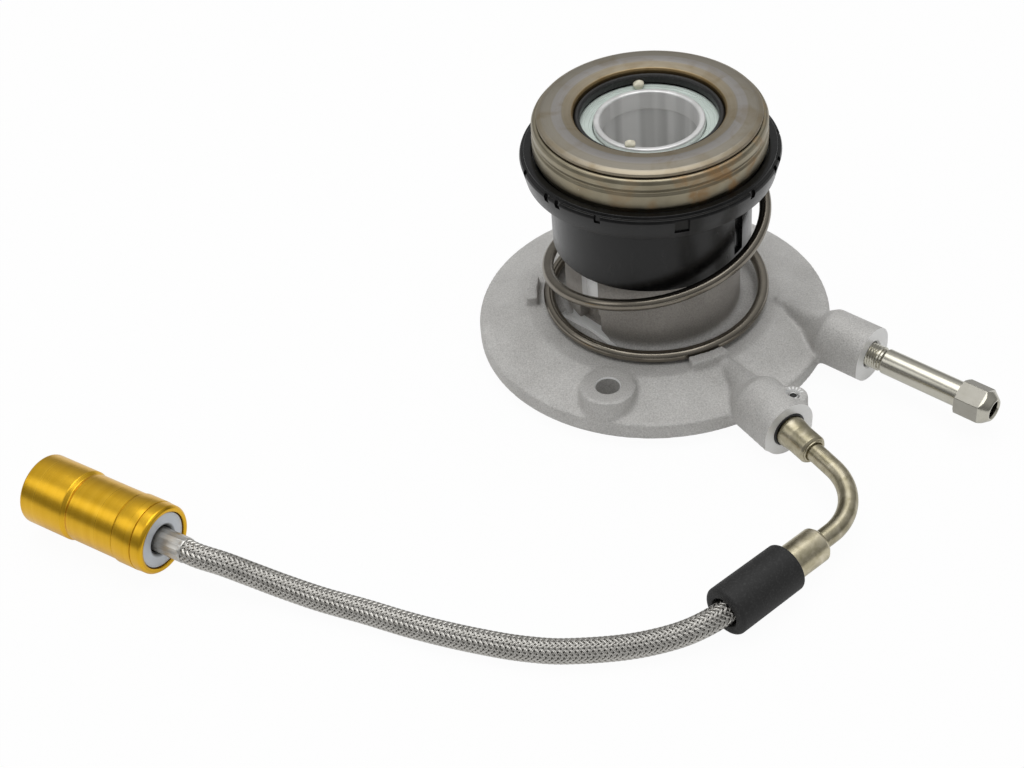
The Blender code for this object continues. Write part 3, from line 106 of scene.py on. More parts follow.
class Shader:
    """Node tree of one material, or of the world."""

    def __init__(self, tree):
        self.tree = tree

    def node(self, kind, settings=None, sockets=None, output=0):
        """Adds a node: first its settings, then the values or links of its sockets."""
        made = self.tree.nodes.new("ShaderNode" + kind)
        for key, setting in (settings or {}).items():
            if key == "stops":
                for number, (place, colour) in enumerate(setting):
                    stops = made.color_ramp.elements
                    stop = stops[number] if number < 2 else stops.new(place)
                    stop.position = place
                    stop.color = (*colour, 1.0)
            else:
                setattr(made, key, setting)
        for key, value in (sockets or {}).items():
            if isinstance(value, Value):
                self.tree.links.new(value.socket, made.inputs[key])
            elif isinstance(value, tuple) and made.inputs[key].type == 'RGBA':
                made.inputs[key].default_value = (*value, 1.0)
            else:
                made.inputs[key].default_value = value
        return Value(self, made.outputs[output])

    def mix(self, first, second, share):
        """Colour between two colours."""
        return self.node("Mix", {"data_type": 'RGBA'}, {0: share, 6: first, 7: second}, 2)

    def multiply(self, colour, grey):
        """Colour made lighter or darker by a grey value."""
        return self.node("Mix", {"data_type": 'RGBA', "blend_type": 'MULTIPLY'},
                         {0: 1.0, 6: colour, 7: grey}, 2)

    def place(self):
        return self.node("TexCoord", output="Object")

    def noise(self, size, detail, stretch=None, distortion=0.0):
        """Noise from 0 to 1 with grains of a size in millimetres, stretched along the local axes."""
        where = self.place()
        if stretch:
            where = self.node("VectorMath", {"operation": 'MULTIPLY'}, {0: where, 1: stretch})
        return self.node("TexNoise", None, {"Vector": where, "Scale": 1000.0 / size, "Detail": detail,
                                            "Distortion": distortion}, "Fac")

    def lines(self, along, size, detail):
        """Noise from 0 to 1 that changes with one distance only, such as turned lines."""
        return self.node("TexNoise", {"noise_dimensions": '1D'},
                         {"W": along, "Scale": 1000.0 / size, "Detail": detail}, "Fac")

    def radius(self):
        """Distance from local Z."""
        flat = self.node("VectorMath", {"operation": 'MULTIPLY'}, {0: self.place(), 1: (1.0, 1.0, 0.0)})
        return self.node("VectorMath", {"operation": 'LENGTH'}, {0: flat}, "Value")

    def height(self):
        """Distance along local Z."""
        return self.node("SeparateXYZ", None, {0: self.place()}, "Z")

    def bump(self, height, depth):
        """Normal from a height of 0 to 1 that stands for a depth in millimetres."""
        return self.node("Bump", None, {"Height": height, "Distance": depth * 0.001, "Strength": 1.0})


def material(name, **sockets):
    """Principled material: numbers are set on its own sockets, and links come through paint()."""
    made = bpy.data.materials.new(name)
    made.use_nodes = True
    surface = made.node_tree.nodes["Principled BSDF"]
    for key, number in sockets.items():
        surface.inputs[key.replace("_", " ")].default_value = number
    return made, Shader(made.node_tree)


def paint(finish, **sockets):
    """Links values that change over a surface to the material's shader."""
    surface = finish.node_tree.nodes["Principled BSDF"]
    for key, value in sockets.items():
        finish.node_tree.links.new(value.socket, surface.inputs[key.replace("_", " ")])


world = bpy.data.worlds.new("studio")
scene.world = world
world.use_nodes = True
sky = Shader(world.node_tree)
backdrop = world.node_tree.nodes["Background"]
direction = sky.node("TexCoord", output="Generated")
up = sky.node("SeparateXYZ", None, {0: direction}, "Z")
toward_back = sky.node("SeparateXYZ", None, {0: direction}, "Y")
seen = sky.node("LightPath", output="Is Camera Ray")
room = 0.19 + 0.34 * up.rise(0.1, 0.9) + 0.13 * toward_back.rise(-0.3, 0.7)
shown = seen + (1.0 - seen) * room
world.node_tree.links.new(shown.socket, backdrop.inputs["Strength"])
backdrop.inputs["Color"].default_value = (1.0, 1.0, 1.0, 1.0)

TABLE_HEIGHT = -0.0031
TABLE_CORNERS = ((-2, -2), (2, -2), (2, 2), (-2, 2))
table_mesh = bpy.data.meshes.new("table")
table_mesh.from_pydata([(x, y, TABLE_HEIGHT) for x, y in TABLE_CORNERS], [], [(0, 1, 2, 3)])
table = bpy.data.objects.new("table", table_mesh)
scene.collection.objects.link(table)
table_paint, paper = material("white_table", Base_Color=(0.86, 0.86, 0.86, 1.0), Roughness=0.9,
                              Specular_IOR_Level=0.1)
camera_ray, mirrored_ray, passed_ray = (
    paper.node("LightPath", output=ray) for ray in ("Is Camera Ray", "Is Glossy Ray", "Is Transmission Ray"))
glow = paper.node("Emission", None, {"Color": (1.0, 1.0, 1.0), "Strength": 1.0})
matte = Value(paper, table_paint.node_tree.nodes["Principled BSDF"].outputs[0])
glowing = 0.96 * camera_ray + 0.45 * mirrored_ray + 0.45 * passed_ray
shown_table = paper.node("MixShader", None, {0: glowing, 1: matte, 2: glow})
table_paint.node_tree.links.new(shown_table.socket,
                                table_paint.node_tree.nodes["Material Output"].inputs["Surface"])
table_mesh.materials.append(table_paint)

LAMPS = (("overhead", (-0.02, 0.06, 1.05), 0.95, 5.5), ("left_side", (-0.95, -0.25, 0.75), 0.5, 0.8))
LAMP_AIM = Vector((-0.02, -0.03, 0.03))
for name, place, size, power in LAMPS:
    lamp = bpy.data.lights.new(name, 'AREA')
    lamp.shape = 'SQUARE'
    lamp.size = size
    lamp.energy = power
    lamp_object = bpy.data.objects.new(name, lamp)
    scene.collection.objects.link(lamp_object)
    lamp_object.location = place
    lamp_object.rotation_mode = 'QUATERNION'
    lamp_object.rotation_quaternion = (LAMP_AIM - Vector(place)).to_track_quat('-Z', 'Y')

# Housing
# The real piece is one sand casting in aluminium: flange, hub, cylinder, bolt bosses, spring lugs
# and port barrels. Its skin stays as cast. The bores, the port faces, a flat on one side of the
# cylinder and the gearbox spigot below are machined bright.
MM = 0.001
WORLD = Matrix.Identity(4)
ROUNDING_STEP = 0.16


def outline(corners):
    """Outline in metres through corners in millimetres, where a third value rounds a corner."""
    points = []
    for number, corner in enumerate(corners):
        here = Vector(corner[:2])
        if len(corner) < 3:
            points.append(here)
            continue
        back = (Vector(corners[number - 1][:2]) - here).normalized()
        ahead = (Vector(corners[(number + 1) % len(corners)][:2]) - here).normalized()
        half = back.angle(ahead) / 2
        centre = here + (back + ahead).normalized() * corner[2] / math.sin(half)
        start = here + back * corner[2] / math.tan(half) - centre
        sweep = start.angle_signed(here + ahead * corner[2] / math.tan(half) - centre)
        count = min(12, max(3, round(abs(sweep) * corner[2] / ROUNDING_STEP)))
        points += [centre + Matrix.Rotation(-sweep * k / count, 2) @ start for k in range(count + 1)]
    return np.array(points) * MM


def skin(rings, wrap=False):
    """Closed mesh over rings of points. wrap joins the last ring to the first, or both get a cap."""
    rings = np.asarray(rings, float)
    rows, columns = rings.shape[:2]
    index = np.arange(rows * columns).reshape(rows, columns)
    if wrap:
        index = np.vstack([index, index[:1]])
    across = np.roll(index, -1, axis=1)
    faces = np.stack([index[:-1], across[:-1], across[1:], index[1:]], axis=-1).reshape(-1, 4).tolist()
    if not wrap:
        faces += [index[0].tolist(), index[-1].tolist()]
    mesh = bpy.data.meshes.new("skin")
    mesh.from_pydata(rings.reshape(-1, 3).tolist(), [], faces)
    bm = bmesh.new()
    bm.from_mesh(mesh)
    bmesh.ops.remove_doubles(bm, verts=bm.verts, dist=1e-7)
    bmesh.ops.recalc_face_normals(bm, faces=bm.faces)
    bm.to_mesh(mesh)
    bm.free()
    return mesh


def turned(corners, steps=144, arc=None, shape=None):
    """Mesh turned about local Z from an outline of radius and height. shape bends its grid."""
    section = outline(corners)
    turns = np.radians(np.linspace(*(arc or (0.0, 360.0)), steps + bool(arc), endpoint=bool(arc)))
    turn, radius, height = turns[:, None], section[None, :, 0], section[None, :, 1]
    if shape:
        radius, height = shape(radius, height, turn)
    grid = np.stack(np.broadcast_arrays(radius * np.cos(turn), radius * np.sin(turn), height), axis=-1)
    return skin(grid, wrap=not arc)


def box(low, high, turn=0.0):
    """Box between two corners in millimetres, turned about Z by an angle in degrees."""
    (x0, y0, z0), (x1, y1, z1) = low, high
    mesh = skin([[(x * MM, y * MM, z * MM) for x, y in ((x0, y0), (x1, y0), (x1, y1), (x0, y1))]
                 for z in (z0, z1)])
    mesh.transform(Matrix.Rotation(math.radians(turn), 4, 'Z'))
    return mesh


def joined(*pairs):
    """One mesh of several pairs of mesh and place."""
    bm = bmesh.new()
    for mesh, place in pairs:
        mesh.transform(place)
        bm.from_mesh(mesh)
    mesh = bpy.data.meshes.new("joined")
    bm.to_mesh(mesh)
    bm.free()
    return mesh


def applied(mesh, kind, **settings):
    """The mesh after one modifier."""
    holder = bpy.data.objects.new("holder", mesh)
    scene.collection.objects.link(holder)
    modifier = holder.modifiers.new("work", kind)
    for key, setting in settings.items():
        setattr(modifier, key, setting)
    shaped = bpy.data.meshes.new_from_object(holder.evaluated_get(bpy.context.evaluated_depsgraph_get()))
    bpy.data.objects.remove(holder)
    return shaped


def cut(mesh, tool):
    """The mesh without a cutter's volume. The cut faces take the cutter's material."""
    cutter = bpy.data.objects.new("cutter", tool)
    scene.collection.objects.link(cutter)
    shaped = applied(mesh, 'BOOLEAN', operation='DIFFERENCE', solver='EXACT', object=cutter,
                     material_mode='TRANSFER')
    bpy.data.objects.remove(cutter)
    return shaped


def made_piece(name, mesh, finish, body, nodes=(), place=WORLD, sharp=30.0):
    """Piece with a material, smooth where its faces turn gently, that rides on a body."""
    if finish:
        mesh.materials.clear()
        mesh.materials.append(finish)
    mesh.shade_smooth()
    mesh.set_sharp_from_angle(angle=math.radians(sharp))
    piece = bpy.data.objects.new(name, mesh)
    scene.collection.objects.link(piece)
    piece.matrix_world = place
    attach(piece, body)
    if nodes:
        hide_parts(*nodes)
    return piece


def level_axis(x, y, z, heading):
    """Place in millimetres whose local Z lies level along a heading in degrees, with local X up."""
    turn = math.radians(heading)
    forward = Vector((math.cos(turn), math.sin(turn), 0.0))
    up_axis = Vector((0.0, 0.0, 1.0))
    axes = Matrix((up_axis, forward.cross(up_axis), forward)).transposed().to_4x4()
    return Matrix.Translation(Vector((x, y, z)) * MM) @ axes


def round_place(radius, angle):
    """Place at a radius in millimetres and an angle in degrees about Z."""
    turn = math.radians(angle)
    return Matrix.Translation((radius * MM * math.cos(turn), radius * MM * math.sin(turn), 0.0))


cast_paint, cast = material("cast_aluminium", Metallic=0.35)
speckle = cast.noise(0.5, 2.0)
grain = cast.noise(0.9, 3.0)
cloud = cast.noise(14.0, 2.0)
CAST_TONES = ((0.3, (0.43, 0.421, 0.406)), (0.5, (0.57, 0.561, 0.543)), (0.7, (0.70, 0.692, 0.672)))
cast_tone = cast.node("ValToRGB", {"stops": CAST_TONES}, {0: 0.7 * speckle + 0.3 * cloud})
# Painted shade: the cylinder wall under the carrier is darkened for the carrier's shadow.
carrier_shade_on_wall = (1.0 - cast.radius().rise(32.0 * MM, 33.0 * MM)) * cast.height().rise(14.5 * MM, 17.0 * MM)
cast_tone = cast.mix(cast_tone, cast.multiply(cast_tone, (0.66, 0.63, 0.60)), carrier_shade_on_wall)
paint(cast_paint, Base_Color=cast_tone, Roughness=0.5 + 0.25 * grain,
      Normal=cast.bump(0.6 * speckle + 0.8 * grain, 0.19))

machined_paint, machined = material("machined_aluminium", Metallic=0.3)
cut_lines = machined.lines(machined.height() + machined.radius(), 0.5, 2.0)
paint(machined_paint, Base_Color=machined.mix((0.86, 0.86, 0.85), (0.97, 0.97, 0.96), cut_lines),
      Roughness=0.30 + 0.16 * cut_lines, Normal=machined.bump(cut_lines, 0.012))

FLANGE_RADIUS = 64.0
HUB_TOP = 13.6
CYLINDER_RADIUS = 31.4
CYLINDER_TOP = 50.0
CYLINDER_BORE = 27.0
SPIGOT_BORE = 21.5
BOLT_CIRCLE = 53.5
BOLT_BOSS_TOP = 14.0
BOLT_HOLE = 4.2
LUG_ANGLES = (-65.0, 57.0, 179.0)
LUG_HALF_ANGLE = 9.0
BARREL_RADIUS = 10.1
BARREL_FACE = 1.6
RIDGE_RISE = 3.5
PIN_BACK = 6.3
PIN_ASIDE = 6.4
FLAT_HEADING = -135.5
VOXEL = 0.75

PORT_HEIGHT = 8.0
INLET_HEADING = -55.6
BLEED_PORT = level_axis(76.05, -30.84, PORT_HEIGHT, -38.9)
INLET_PORT = level_axis(44.58, -68.49, PORT_HEIGHT, INLET_HEADING)
BOLT_PLACES = [round_place(BOLT_CIRCLE, angle) for angle in (-107.7, 72.3)]
pin_middle = (INLET_PORT @ Matrix.Translation((0.0, 0.0, -PIN_BACK * MM))).translation
aside = math.radians(-INLET_HEADING)
PIN_PLACE = Matrix.Translation((pin_middle.x + PIN_ASIDE * MM * math.sin(aside),
                                pin_middle.y + PIN_ASIDE * MM * math.cos(aside), 0.0))

body_line = [(0, 0), (FLANGE_RADIUS, 0, 0.8), (FLANGE_RADIUS, 6.5, 1.0), (61, 7.0), (46.3, HUB_TOP),
             (CYLINDER_RADIUS, HUB_TOP, 1.7), (CYLINDER_RADIUS, CYLINDER_TOP), (0, CYLINDER_TOP)]
bolt_boss_line = [(0, 3), (10.1, 3), (9.8, BOLT_BOSS_TOP, 0.7), (0, BOLT_BOSS_TOP)]
lug_line = [(42.0, 10.6), (46.8, 10.6), (46.2, 17.4, 0.4), (42.0, 17.4, 0.3)]
pin_boss_line = [(0, 3), (5.4, 3), (5.1, 15.9, 0.9), (0, 15.9)]
casting = [(turned(body_line), WORLD)]
for place in BOLT_PLACES:
    casting.append((turned(bolt_boss_line, 64), place))
for angle in LUG_ANGLES:
    casting.append((turned(lug_line, 40, (angle - LUG_HALF_ANGLE, angle + LUG_HALF_ANGLE)), WORLD))
ridge_place = Matrix.Translation((RIDGE_RISE * MM, 0.0, 0.0))
for port, depth in ((BLEED_PORT, 41.0), (INLET_PORT, 35.5)):
    barrel_line = [(0, -depth - 15.0), (2.4, -depth - 15.0), (5.2, -26.0, 2.0), (BARREL_RADIUS, -17.5, 1.5),
                   (BARREL_RADIUS, BARREL_FACE), (0, BARREL_FACE)]
    ridge_line = [(0, -depth), (3.2, -depth, 1.2), (4.9, -21.0), (0, -21.0)]
    casting.append((turned(barrel_line, 64), port))
    casting.append((turned(ridge_line, 48), port @ ridge_place))
    casting.append((box((-4.8, -10.0, -17.5), (0.0, 10.0, BARREL_FACE)), port))
casting.append((turned(pin_boss_line, 48), PIN_PLACE))
cast_mesh = applied(joined(*casting), 'REMESH', mode='VOXEL', voxel_size=VOXEL * MM)


def eased(mesh, rounds, edge_rounds):
    """Rounds a cast skin: hollow corners fill over all rounds, and edges wear for the first ones."""
    count = len(mesh.vertices)
    points = np.empty(count * 3)
    mesh.vertices.foreach_get("co", points)
    points = points.reshape(-1, 3)
    pairs = np.empty(len(mesh.edges) * 2, np.int32)
    mesh.edges.foreach_get("vertices", pairs)
    first, second = pairs.reshape(-1, 2).T
    share = 1.0 / np.maximum(np.bincount(pairs, minlength=count), 1)
    normals = np.empty(count * 3)
    for number in range(rounds):
        total = [np.bincount(first, points[second, k], count) + np.bincount(second, points[first, k], count)
                 for k in range(3)]
        pull = np.stack(total, axis=1) * share[:, None] - points
        mesh.vertices.foreach_get("normal", normals)
        outward = (pull * normals.reshape(-1, 3)).sum(1)
        rate = np.where(outward > 0.0, 0.7, 0.5 if number < edge_rounds else 0.0)
        points += pull * rate[:, None]
        mesh.vertices.foreach_set("co", points.ravel())
        mesh.update()
    return mesh


cast_mesh = eased(cast_mesh, 3, 2)
cast_mesh.materials.clear()
cast_mesh.materials.append(cast_paint)
# Each cutter gives its cut faces their finish. The recess below the flat and the bolt holes stay as
# cast, while the bores, the flat and its foot, the pin's hole and the chamfers are machined.
FOOT_CUT = ((-15.8, 13.0), (15.8, 13.0), (9.0, 14.6), (5.0, 17.8), (-15.8, 17.8))
foot_mesh = skin([[(x * MM, y * MM, z * MM) for y, z in FOOT_CUT] for x in (29.4, 31.7)])
foot_place = Matrix.Rotation(math.radians(FLAT_HEADING), 4, 'Z')
cylinder_bore = [(0, -4), (SPIGOT_BORE, -4), (SPIGOT_BORE, -0.7), (19.3, -0.7), (19.3, 5.5),
                 (CYLINDER_BORE, 5.5), (CYLINDER_BORE, 51), (0, 51)]
bleed_bore = [(0, -16), (1.8, -16), (4.7, -12), (4.7, -0.7), (5.4, 0.0), (16, 0.0), (16, 3.0), (0, 3.0)]
inlet_bore = [(0, -9.9), (5.7, -9.9), (5.7, -1.0), (6.4, -0.5), (6.4, 0.0), (16, 0.0), (16, 3.0), (0, 3.0)]
side_flat = [(29.3, 24.0), (36, 24.0), (36, 52), (29.3, 52)]
side_recess = [(27.9, 17.6), (36, 17.6), (36, 24.1), (27.9, 24.1)]
pin_hole = [(0, 2.9), (2.0, 2.9), (2.0, 14.9), (2.7, 16.2), (2.7, 18), (0, 18)]
bolt_hole = [(0, -4), (BOLT_HOLE, -4), (BOLT_HOLE, 16), (0, 16)]
bolt_chamfer = [(0, 13.1), (4.0, 13.1), (4.65, 14.2), (4.65, 16), (0, 16)]
bored = joined((turned(cylinder_bore), WORLD), (foot_mesh, foot_place),
               (turned(bleed_bore, 96), BLEED_PORT), (turned(inlet_bore, 96), INLET_PORT))
as_cast = joined((turned(side_recess, 20, (-145.5, -126.0)), WORLD),
                 *((turned(bolt_hole, 64), place) for place in BOLT_PLACES))
milled = joined((turned(side_flat, 20, (-142.0, -127.6)), WORLD), (turned(pin_hole, 48), PIN_PLACE),
                *((turned(bolt_chamfer, 64), place) for place in BOLT_PLACES))
for tool, finish in ((bored, machined_paint), (as_cast, cast_paint), (milled, machined_paint)):
    tool.materials.append(finish)
    cast_mesh = cut(cast_mesh, tool)
made_piece("cast_housing", cast_mesh, None, "housing", ["housing"])
spigot_line = [(SPIGOT_BORE, -3.0, 0.3), (CYLINDER_BORE, -3.0, 0.4), (CYLINDER_BORE, 0.6), (SPIGOT_BORE, 0.6)]
made_piece("gearbox_spigot", turned(spigot_line), machined_paint, "housing")

# Guide tube
# A steel tube pressed through the casting from below. Its mouth is turned bright and rounded, and
# below the mouth the bore is relieved and left brushed.
tube_paint, tube = material("turned_tube", Metallic=0.4)
tube_height = tube.height()
tube_lines = tube.lines(tube_height + tube.radius(), 0.4, 2.0)
brushed = tube.noise(6.0, 2.0, stretch=(1.0, 1.0, 0.03))
mouth = tube_height.rise(81.2 * MM, 82.2 * MM)
bore_tone = tube.mix((0.70, 0.70, 0.69), (0.98, 0.98, 0.97), brushed.rise(0.35, 0.65))
mouth_tone = tube.mix((0.84, 0.84, 0.83), (0.99, 0.99, 0.98), brushed.rise(0.4, 0.6))
tube_tone = tube.mix(bore_tone, mouth_tone, mouth)
# Painted shade: the rounded top lip is darkened to dull its highlight.
lip_painted_shade = tube_height.rise(87.8 * MM, 88.3 * MM)
tube_tone = tube.mix(tube_tone, tube.multiply(tube_tone, (0.76, 0.76, 0.76)), lip_painted_shade)
paint(tube_paint, Base_Color=tube_tone, Roughness=0.36 - 0.1 * mouth + 0.1 * tube_lines,
      Normal=tube.bump(tube_lines, 0.01))
made_piece("steel_guide_tube", turned([
    (17.3, -3.0, 0.3), (21.2, -3.0, 0.3), (21.2, -1.0), (19.0, -1.0), (19.0, 88.8, 0.7), (16.7, 88.8, 0.9),
    (16.7, 82.0), (17.3, 81.4)]), tube_paint, "housing", ["guide_tube"])


def rubber(name, shade, roughness):
    """Black rubber with a faint dusty bloom."""
    made, look = material(name, Specular_IOR_Level=0.4)
    dust = look.noise(0.7, 3.0)
    paint(made, Base_Color=look.mix((shade, shade, shade), (2.4 * shade,) * 3, dust.rise(0.45, 0.8)),
          Roughness=roughness + 0.15 * dust, Normal=look.bump(dust, 0.02))
    return made


def refinish(finish, *nodes):
    """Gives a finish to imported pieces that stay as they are."""
    for node in nodes:
        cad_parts[node].data.materials.clear()
        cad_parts[node].data.materials.append(finish)


seal_paint = rubber("black_seal_rubber", 0.014, 0.38)
refinish(seal_paint, "tube_seal", "piston_seal", "inlet_seal", "coupling_seal")

# Piston
# A pale grey-green anodised sleeve that slides on the guide tube. Its nose shows as stepped rings
# round the tube, and a black lip ring closes the gap to the bearing.
piston_paint, alloy = material("anodised_piston", Metallic=0.25)
nose_lines = alloy.lines(alloy.radius() + alloy.height(), 1.6, 1.0)
smear = alloy.noise(5.0, 2.0)
piston_tone = alloy.mix((0.52, 0.60, 0.555), (0.72, 0.79, 0.745), 0.5 * nose_lines + 0.5 * smear)
paint(piston_paint, Base_Color=piston_tone, Roughness=0.32 + 0.2 * smear, Normal=alloy.bump(smear, 0.02))
piston_line = [
    (19.3, 32.0), (26.7, 32.0), (26.7, 72.1), (24.0, 72.1), (24.0, 77.6), (23.2, 77.6), (23.2, 79.0),
    (24.0, 79.0), (24.0, 87.5, 0.4), (23.0, 87.5, 0.2), (22.8, 87.15, 0.1), (22.1, 87.15, 0.1),
    (21.9, 86.85, 0.1), (20.6, 86.85, 0.15), (20.4, 86.6, 0.1), (19.3, 86.6, 0.2)]
made_piece("anodised_piston", turned(piston_line), piston_paint, "piston", ["piston"])
lip_ring_line = [(24.5, 80.9), (25.4, 80.9), (25.4, 90.5, 0.4), (24.9, 91.2, 0.5), (24.1, 91.2, 0.5),
                 (23.45, 90.4, 0.6), (23.45, 88.2, 0.3), (24.5, 88.2)]
made_piece("bearing_inner_seal", turned(lip_ring_line), seal_paint, "piston", ["inner_seal"])

# Preload spring
# Two turns of dark oiled spring wire with closed ends, from the hub's seat up to the carrier. Its
# foot sits between the three cast lugs, and it keeps the bearing lightly against the clutch.
def swept(line, radius, sides=20):
    """Rings of a radius square to a line of points, with their first point towards the top."""
    line = np.asarray(line, float)
    ahead = np.gradient(line, axis=0)
    ahead /= np.linalg.norm(ahead, axis=1)[:, None]
    side = np.cross(ahead, (0.0, 0.0, 1.0))
    side /= np.linalg.norm(side, axis=1)[:, None]
    top = np.cross(side, ahead)
    turn = np.linspace(0.0, 2.0 * np.pi, sides, endpoint=False)[None, :, None]
    radius = np.broadcast_to(np.asarray(radius, float), len(line))[:, None, None]
    return line[:, None] + radius * (np.cos(turn) * top[:, None] + np.sin(turn) * side[:, None])


wire_paint, drawn_wire = material("oiled_spring_steel", Metallic=1.0)
wire_mottle = drawn_wire.noise(9.0, 2.0)
wire_fine = drawn_wire.noise(0.5, 2.0)
paint(wire_paint, Base_Color=drawn_wire.mix((0.165, 0.148, 0.12), (0.27, 0.245, 0.205), wire_mottle),
      Roughness=0.17 + 0.08 * wire_fine, Normal=drawn_wire.bump(wire_fine, 0.003))
COIL_RADIUS = 38.7
COIL_SHIFT = 1.0
COIL_LOW = 16.0
COIL_HIGH = 70.0
COIL_STEPS = 400
WIRE_RADIUS = 2.1
WIRE_END_RADIUS = 1.7
COIL_RISE = ((-260, 0.0), (-110, 0.0), (-35, 0.017), (15, 0.052), (95, 0.115), (175, 0.217),
             (260, 0.426), (345, 0.646), (450, 0.86), (540, 0.975), (620, 1.0), (740, 1.0))


def eased_heights(table, wanted):
    """Values of a table read through a smooth curve that never turns back between two of its rows."""
    known, value = np.array(table, float).T
    slope = np.diff(value) / np.diff(known)
    tangent = np.zeros(len(known))
    steady = slope[:-1] * slope[1:] > 0.0
    tangent[1:-1][steady] = (2.0 * slope[:-1] * slope[1:] / (slope[:-1] + slope[1:] + 1e-12))[steady]
    index = np.clip(np.searchsorted(known, wanted, side='right') - 1, 0, len(known) - 2)
    span = known[index + 1] - known[index]
    t = (wanted - known[index]) / span
    return ((1 + 2 * t) * (1 - t) ** 2 * value[index] + t * (1 - t) ** 2 * span * tangent[index]
            + t * t * (3 - 2 * t) * value[index + 1] - t * t * (1 - t) * span * tangent[index + 1])


coil_angle = np.linspace(COIL_RISE[0][0], COIL_RISE[-1][0], COIL_STEPS)
coil_height = COIL_LOW + (COIL_HIGH - COIL_LOW) * eased_heights(COIL_RISE, coil_angle)
coil_turn = np.radians(coil_angle)
coil_line = np.stack([COIL_SHIFT + COIL_RADIUS * np.cos(coil_turn), COIL_RADIUS * np.sin(coil_turn),
                      coil_height], axis=1) * MM
wire_radius = np.full(COIL_STEPS, WIRE_RADIUS * MM)
wire_radius[[0, -1]] = WIRE_END_RADIUS * MM
coil = made_piece("preload_coil", skin(swept(coil_line, wire_radius)), wire_paint, "housing",
                  ["preload_spring"])
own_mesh(coil)

# Carrier
# A black nylon moulding clipped on the piston's shoulder: a skirt over the cylinder with two long
# slots, and a rim with notches and pockets that cups the bearing.
nylon_paint, nylon = material("black_nylon", Specular_IOR_Level=0.32)
scuff = nylon.noise(2.2, 4.0, stretch=(1.0, 1.0, 0.35))
pebble = nylon.noise(0.3, 2.0)
paint(nylon_paint, Base_Color=nylon.mix((0.004, 0.004, 0.004), (0.010, 0.010, 0.010), scuff.rise(0.4, 0.8)),
      Roughness=0.17 + 0.12 * scuff + 0.04 * pebble, Normal=nylon.bump(pebble, 0.012))
SLOT_ANGLES = (-32.6, 147.4)
POCKET_ANGLES = (-77.0, 43.0, 163.0)
NOTCH_OFFSETS = (-57.0, -36.5, 35.5, 56.0)
carrier_mesh = turned([
    (24.3, 72.4), (33.3, 72.4), (33.3, 42.0), (35.1, 42.0, 0.4), (35.1, 72.4, 0.7), (42.4, 72.4),
    (42.4, 70.2), (43.2, 70.2, 0.3), (44.8, 77.2, 0.3), (44.4, 78.3, 0.3), (43.5, 78.3, 0.2),
    (43.2, 79.3, 0.3), (40.5, 79.3, 0.3), (40.5, 77.0), (24.3, 77.0)], 180)
hollows = [(box((33.8, -2.6, 46.0), (36.6, 2.6, 71.4), angle), WORLD) for angle in SLOT_ANGLES]
for angle in POCKET_ANGLES:
    hollows.append((box((43.0, -2.5, 72.4), (45.8, 2.5, 77.6), angle), WORLD))
    for offset in NOTCH_OFFSETS:
        hollows.append((box((43.8, -1.1, 75.6), (45.8, 1.1, 79.0), angle + offset), WORLD))
carrier_cuts = joined(*hollows)
carrier_cuts.materials.append(nylon_paint)
carrier_mesh.materials.append(nylon_paint)
made_piece("nylon_carrier", cut(carrier_mesh, carrier_cuts), nylon_paint, "piston",
           ["carrier"])

# Release bearing
# Pressed and ground steel, browned by heat: a shell with two rolls and a valley between them holds
# the balls, and the thrust race on top spins.
shell_paint, shell = material("pressed_bearing_shell", Metallic=1.0)
heat = shell.noise(7.0, 4.0, distortion=0.6)
blot = shell.noise(9.0, 3.0, distortion=0.8)
fleck = shell.noise(0.8, 2.0)
front_right = shell.node("VectorMath", {"operation": 'DOT_PRODUCT'},
                         {0: shell.place(), 1: (0.62, -0.78, 0.0)}, "Value")
rust = blot.rise(0.42, 0.72) * front_right.rise(8.0 * MM, 38.0 * MM)
bare = shell.mix((0.235, 0.205, 0.145), (0.375, 0.34, 0.25), heat)
stained = shell.mix(bare, (0.37, 0.22, 0.095), 0.75 * rust)
spotted = shell.mix(stained, (0.72, 0.69, 0.62), fleck.rise(0.72, 0.78) * blot.rise(0.5, 0.6))
paint(shell_paint, Base_Color=spotted, Roughness=0.30 + 0.25 * rust + 0.1 * heat,
      Normal=shell.bump(0.6 * fleck + 0.4 * blot, 0.02))
made_piece("pressed_bearing_shell", turned([
    (27.6, 77.3), (39.0, 77.3, 0.7), (40.2, 80.3, 1.9), (40.2, 85.0, 1.2), (39.5, 86.0, 0.6),
    (40.1, 87.6, 0.8), (40.1, 89.3, 0.8), (39.4, 90.8, 1.1), (38.05, 90.8, 0.3), (38.05, 89.9),
    (38.7, 88.8), (38.7, 78.8), (27.6, 78.8)], 180),
    shell_paint, "piston", ["bearing_shell"])

race_paint, race = material("ground_thrust_race", Metallic=1.0)
race_radius = race.radius()
rings = race.lines(race_radius, 0.28, 3.0)
wide_rings = race.lines(race_radius, 1.6, 2.0)
patch = race.noise(9.0, 4.0, distortion=0.8)
fine_rings = 0.6 * wide_rings + 0.4 * rings
outer_zone = race.mix((0.25, 0.228, 0.185), (0.36, 0.334, 0.285), fine_rings)
contact = race.mix((0.295, 0.28, 0.262), (0.385, 0.368, 0.35), fine_rings)
inner_zone = race.mix((0.265, 0.228, 0.165), (0.36, 0.315, 0.24), fine_rings)
zones = race.mix(outer_zone, contact, race_radius.band(29.6 * MM, 33.0 * MM, 0.35 * MM))
zones = race.mix(inner_zone, zones, race_radius.rise(28.9 * MM, 29.8 * MM))
zones = race.mix((0.33, 0.24, 0.12), zones, race_radius.rise(25.9 * MM, 26.6 * MM))
# The outer roll is lighter tan: partly heat tint, partly a painted highlight.
roll = race_radius.rise(36.2 * MM, 37.2 * MM)
zones = race.mix(zones, (0.38, 0.325, 0.235), 0.6 * roll)
worn = race.mix(zones, race.multiply(zones, (0.84, 0.79, 0.70)), patch.rise(0.45, 0.75))
paint(race_paint, Base_Color=worn, Roughness=0.36 + 0.12 * rings + 0.08 * patch,
      Normal=race.bump(rings, 0.014))
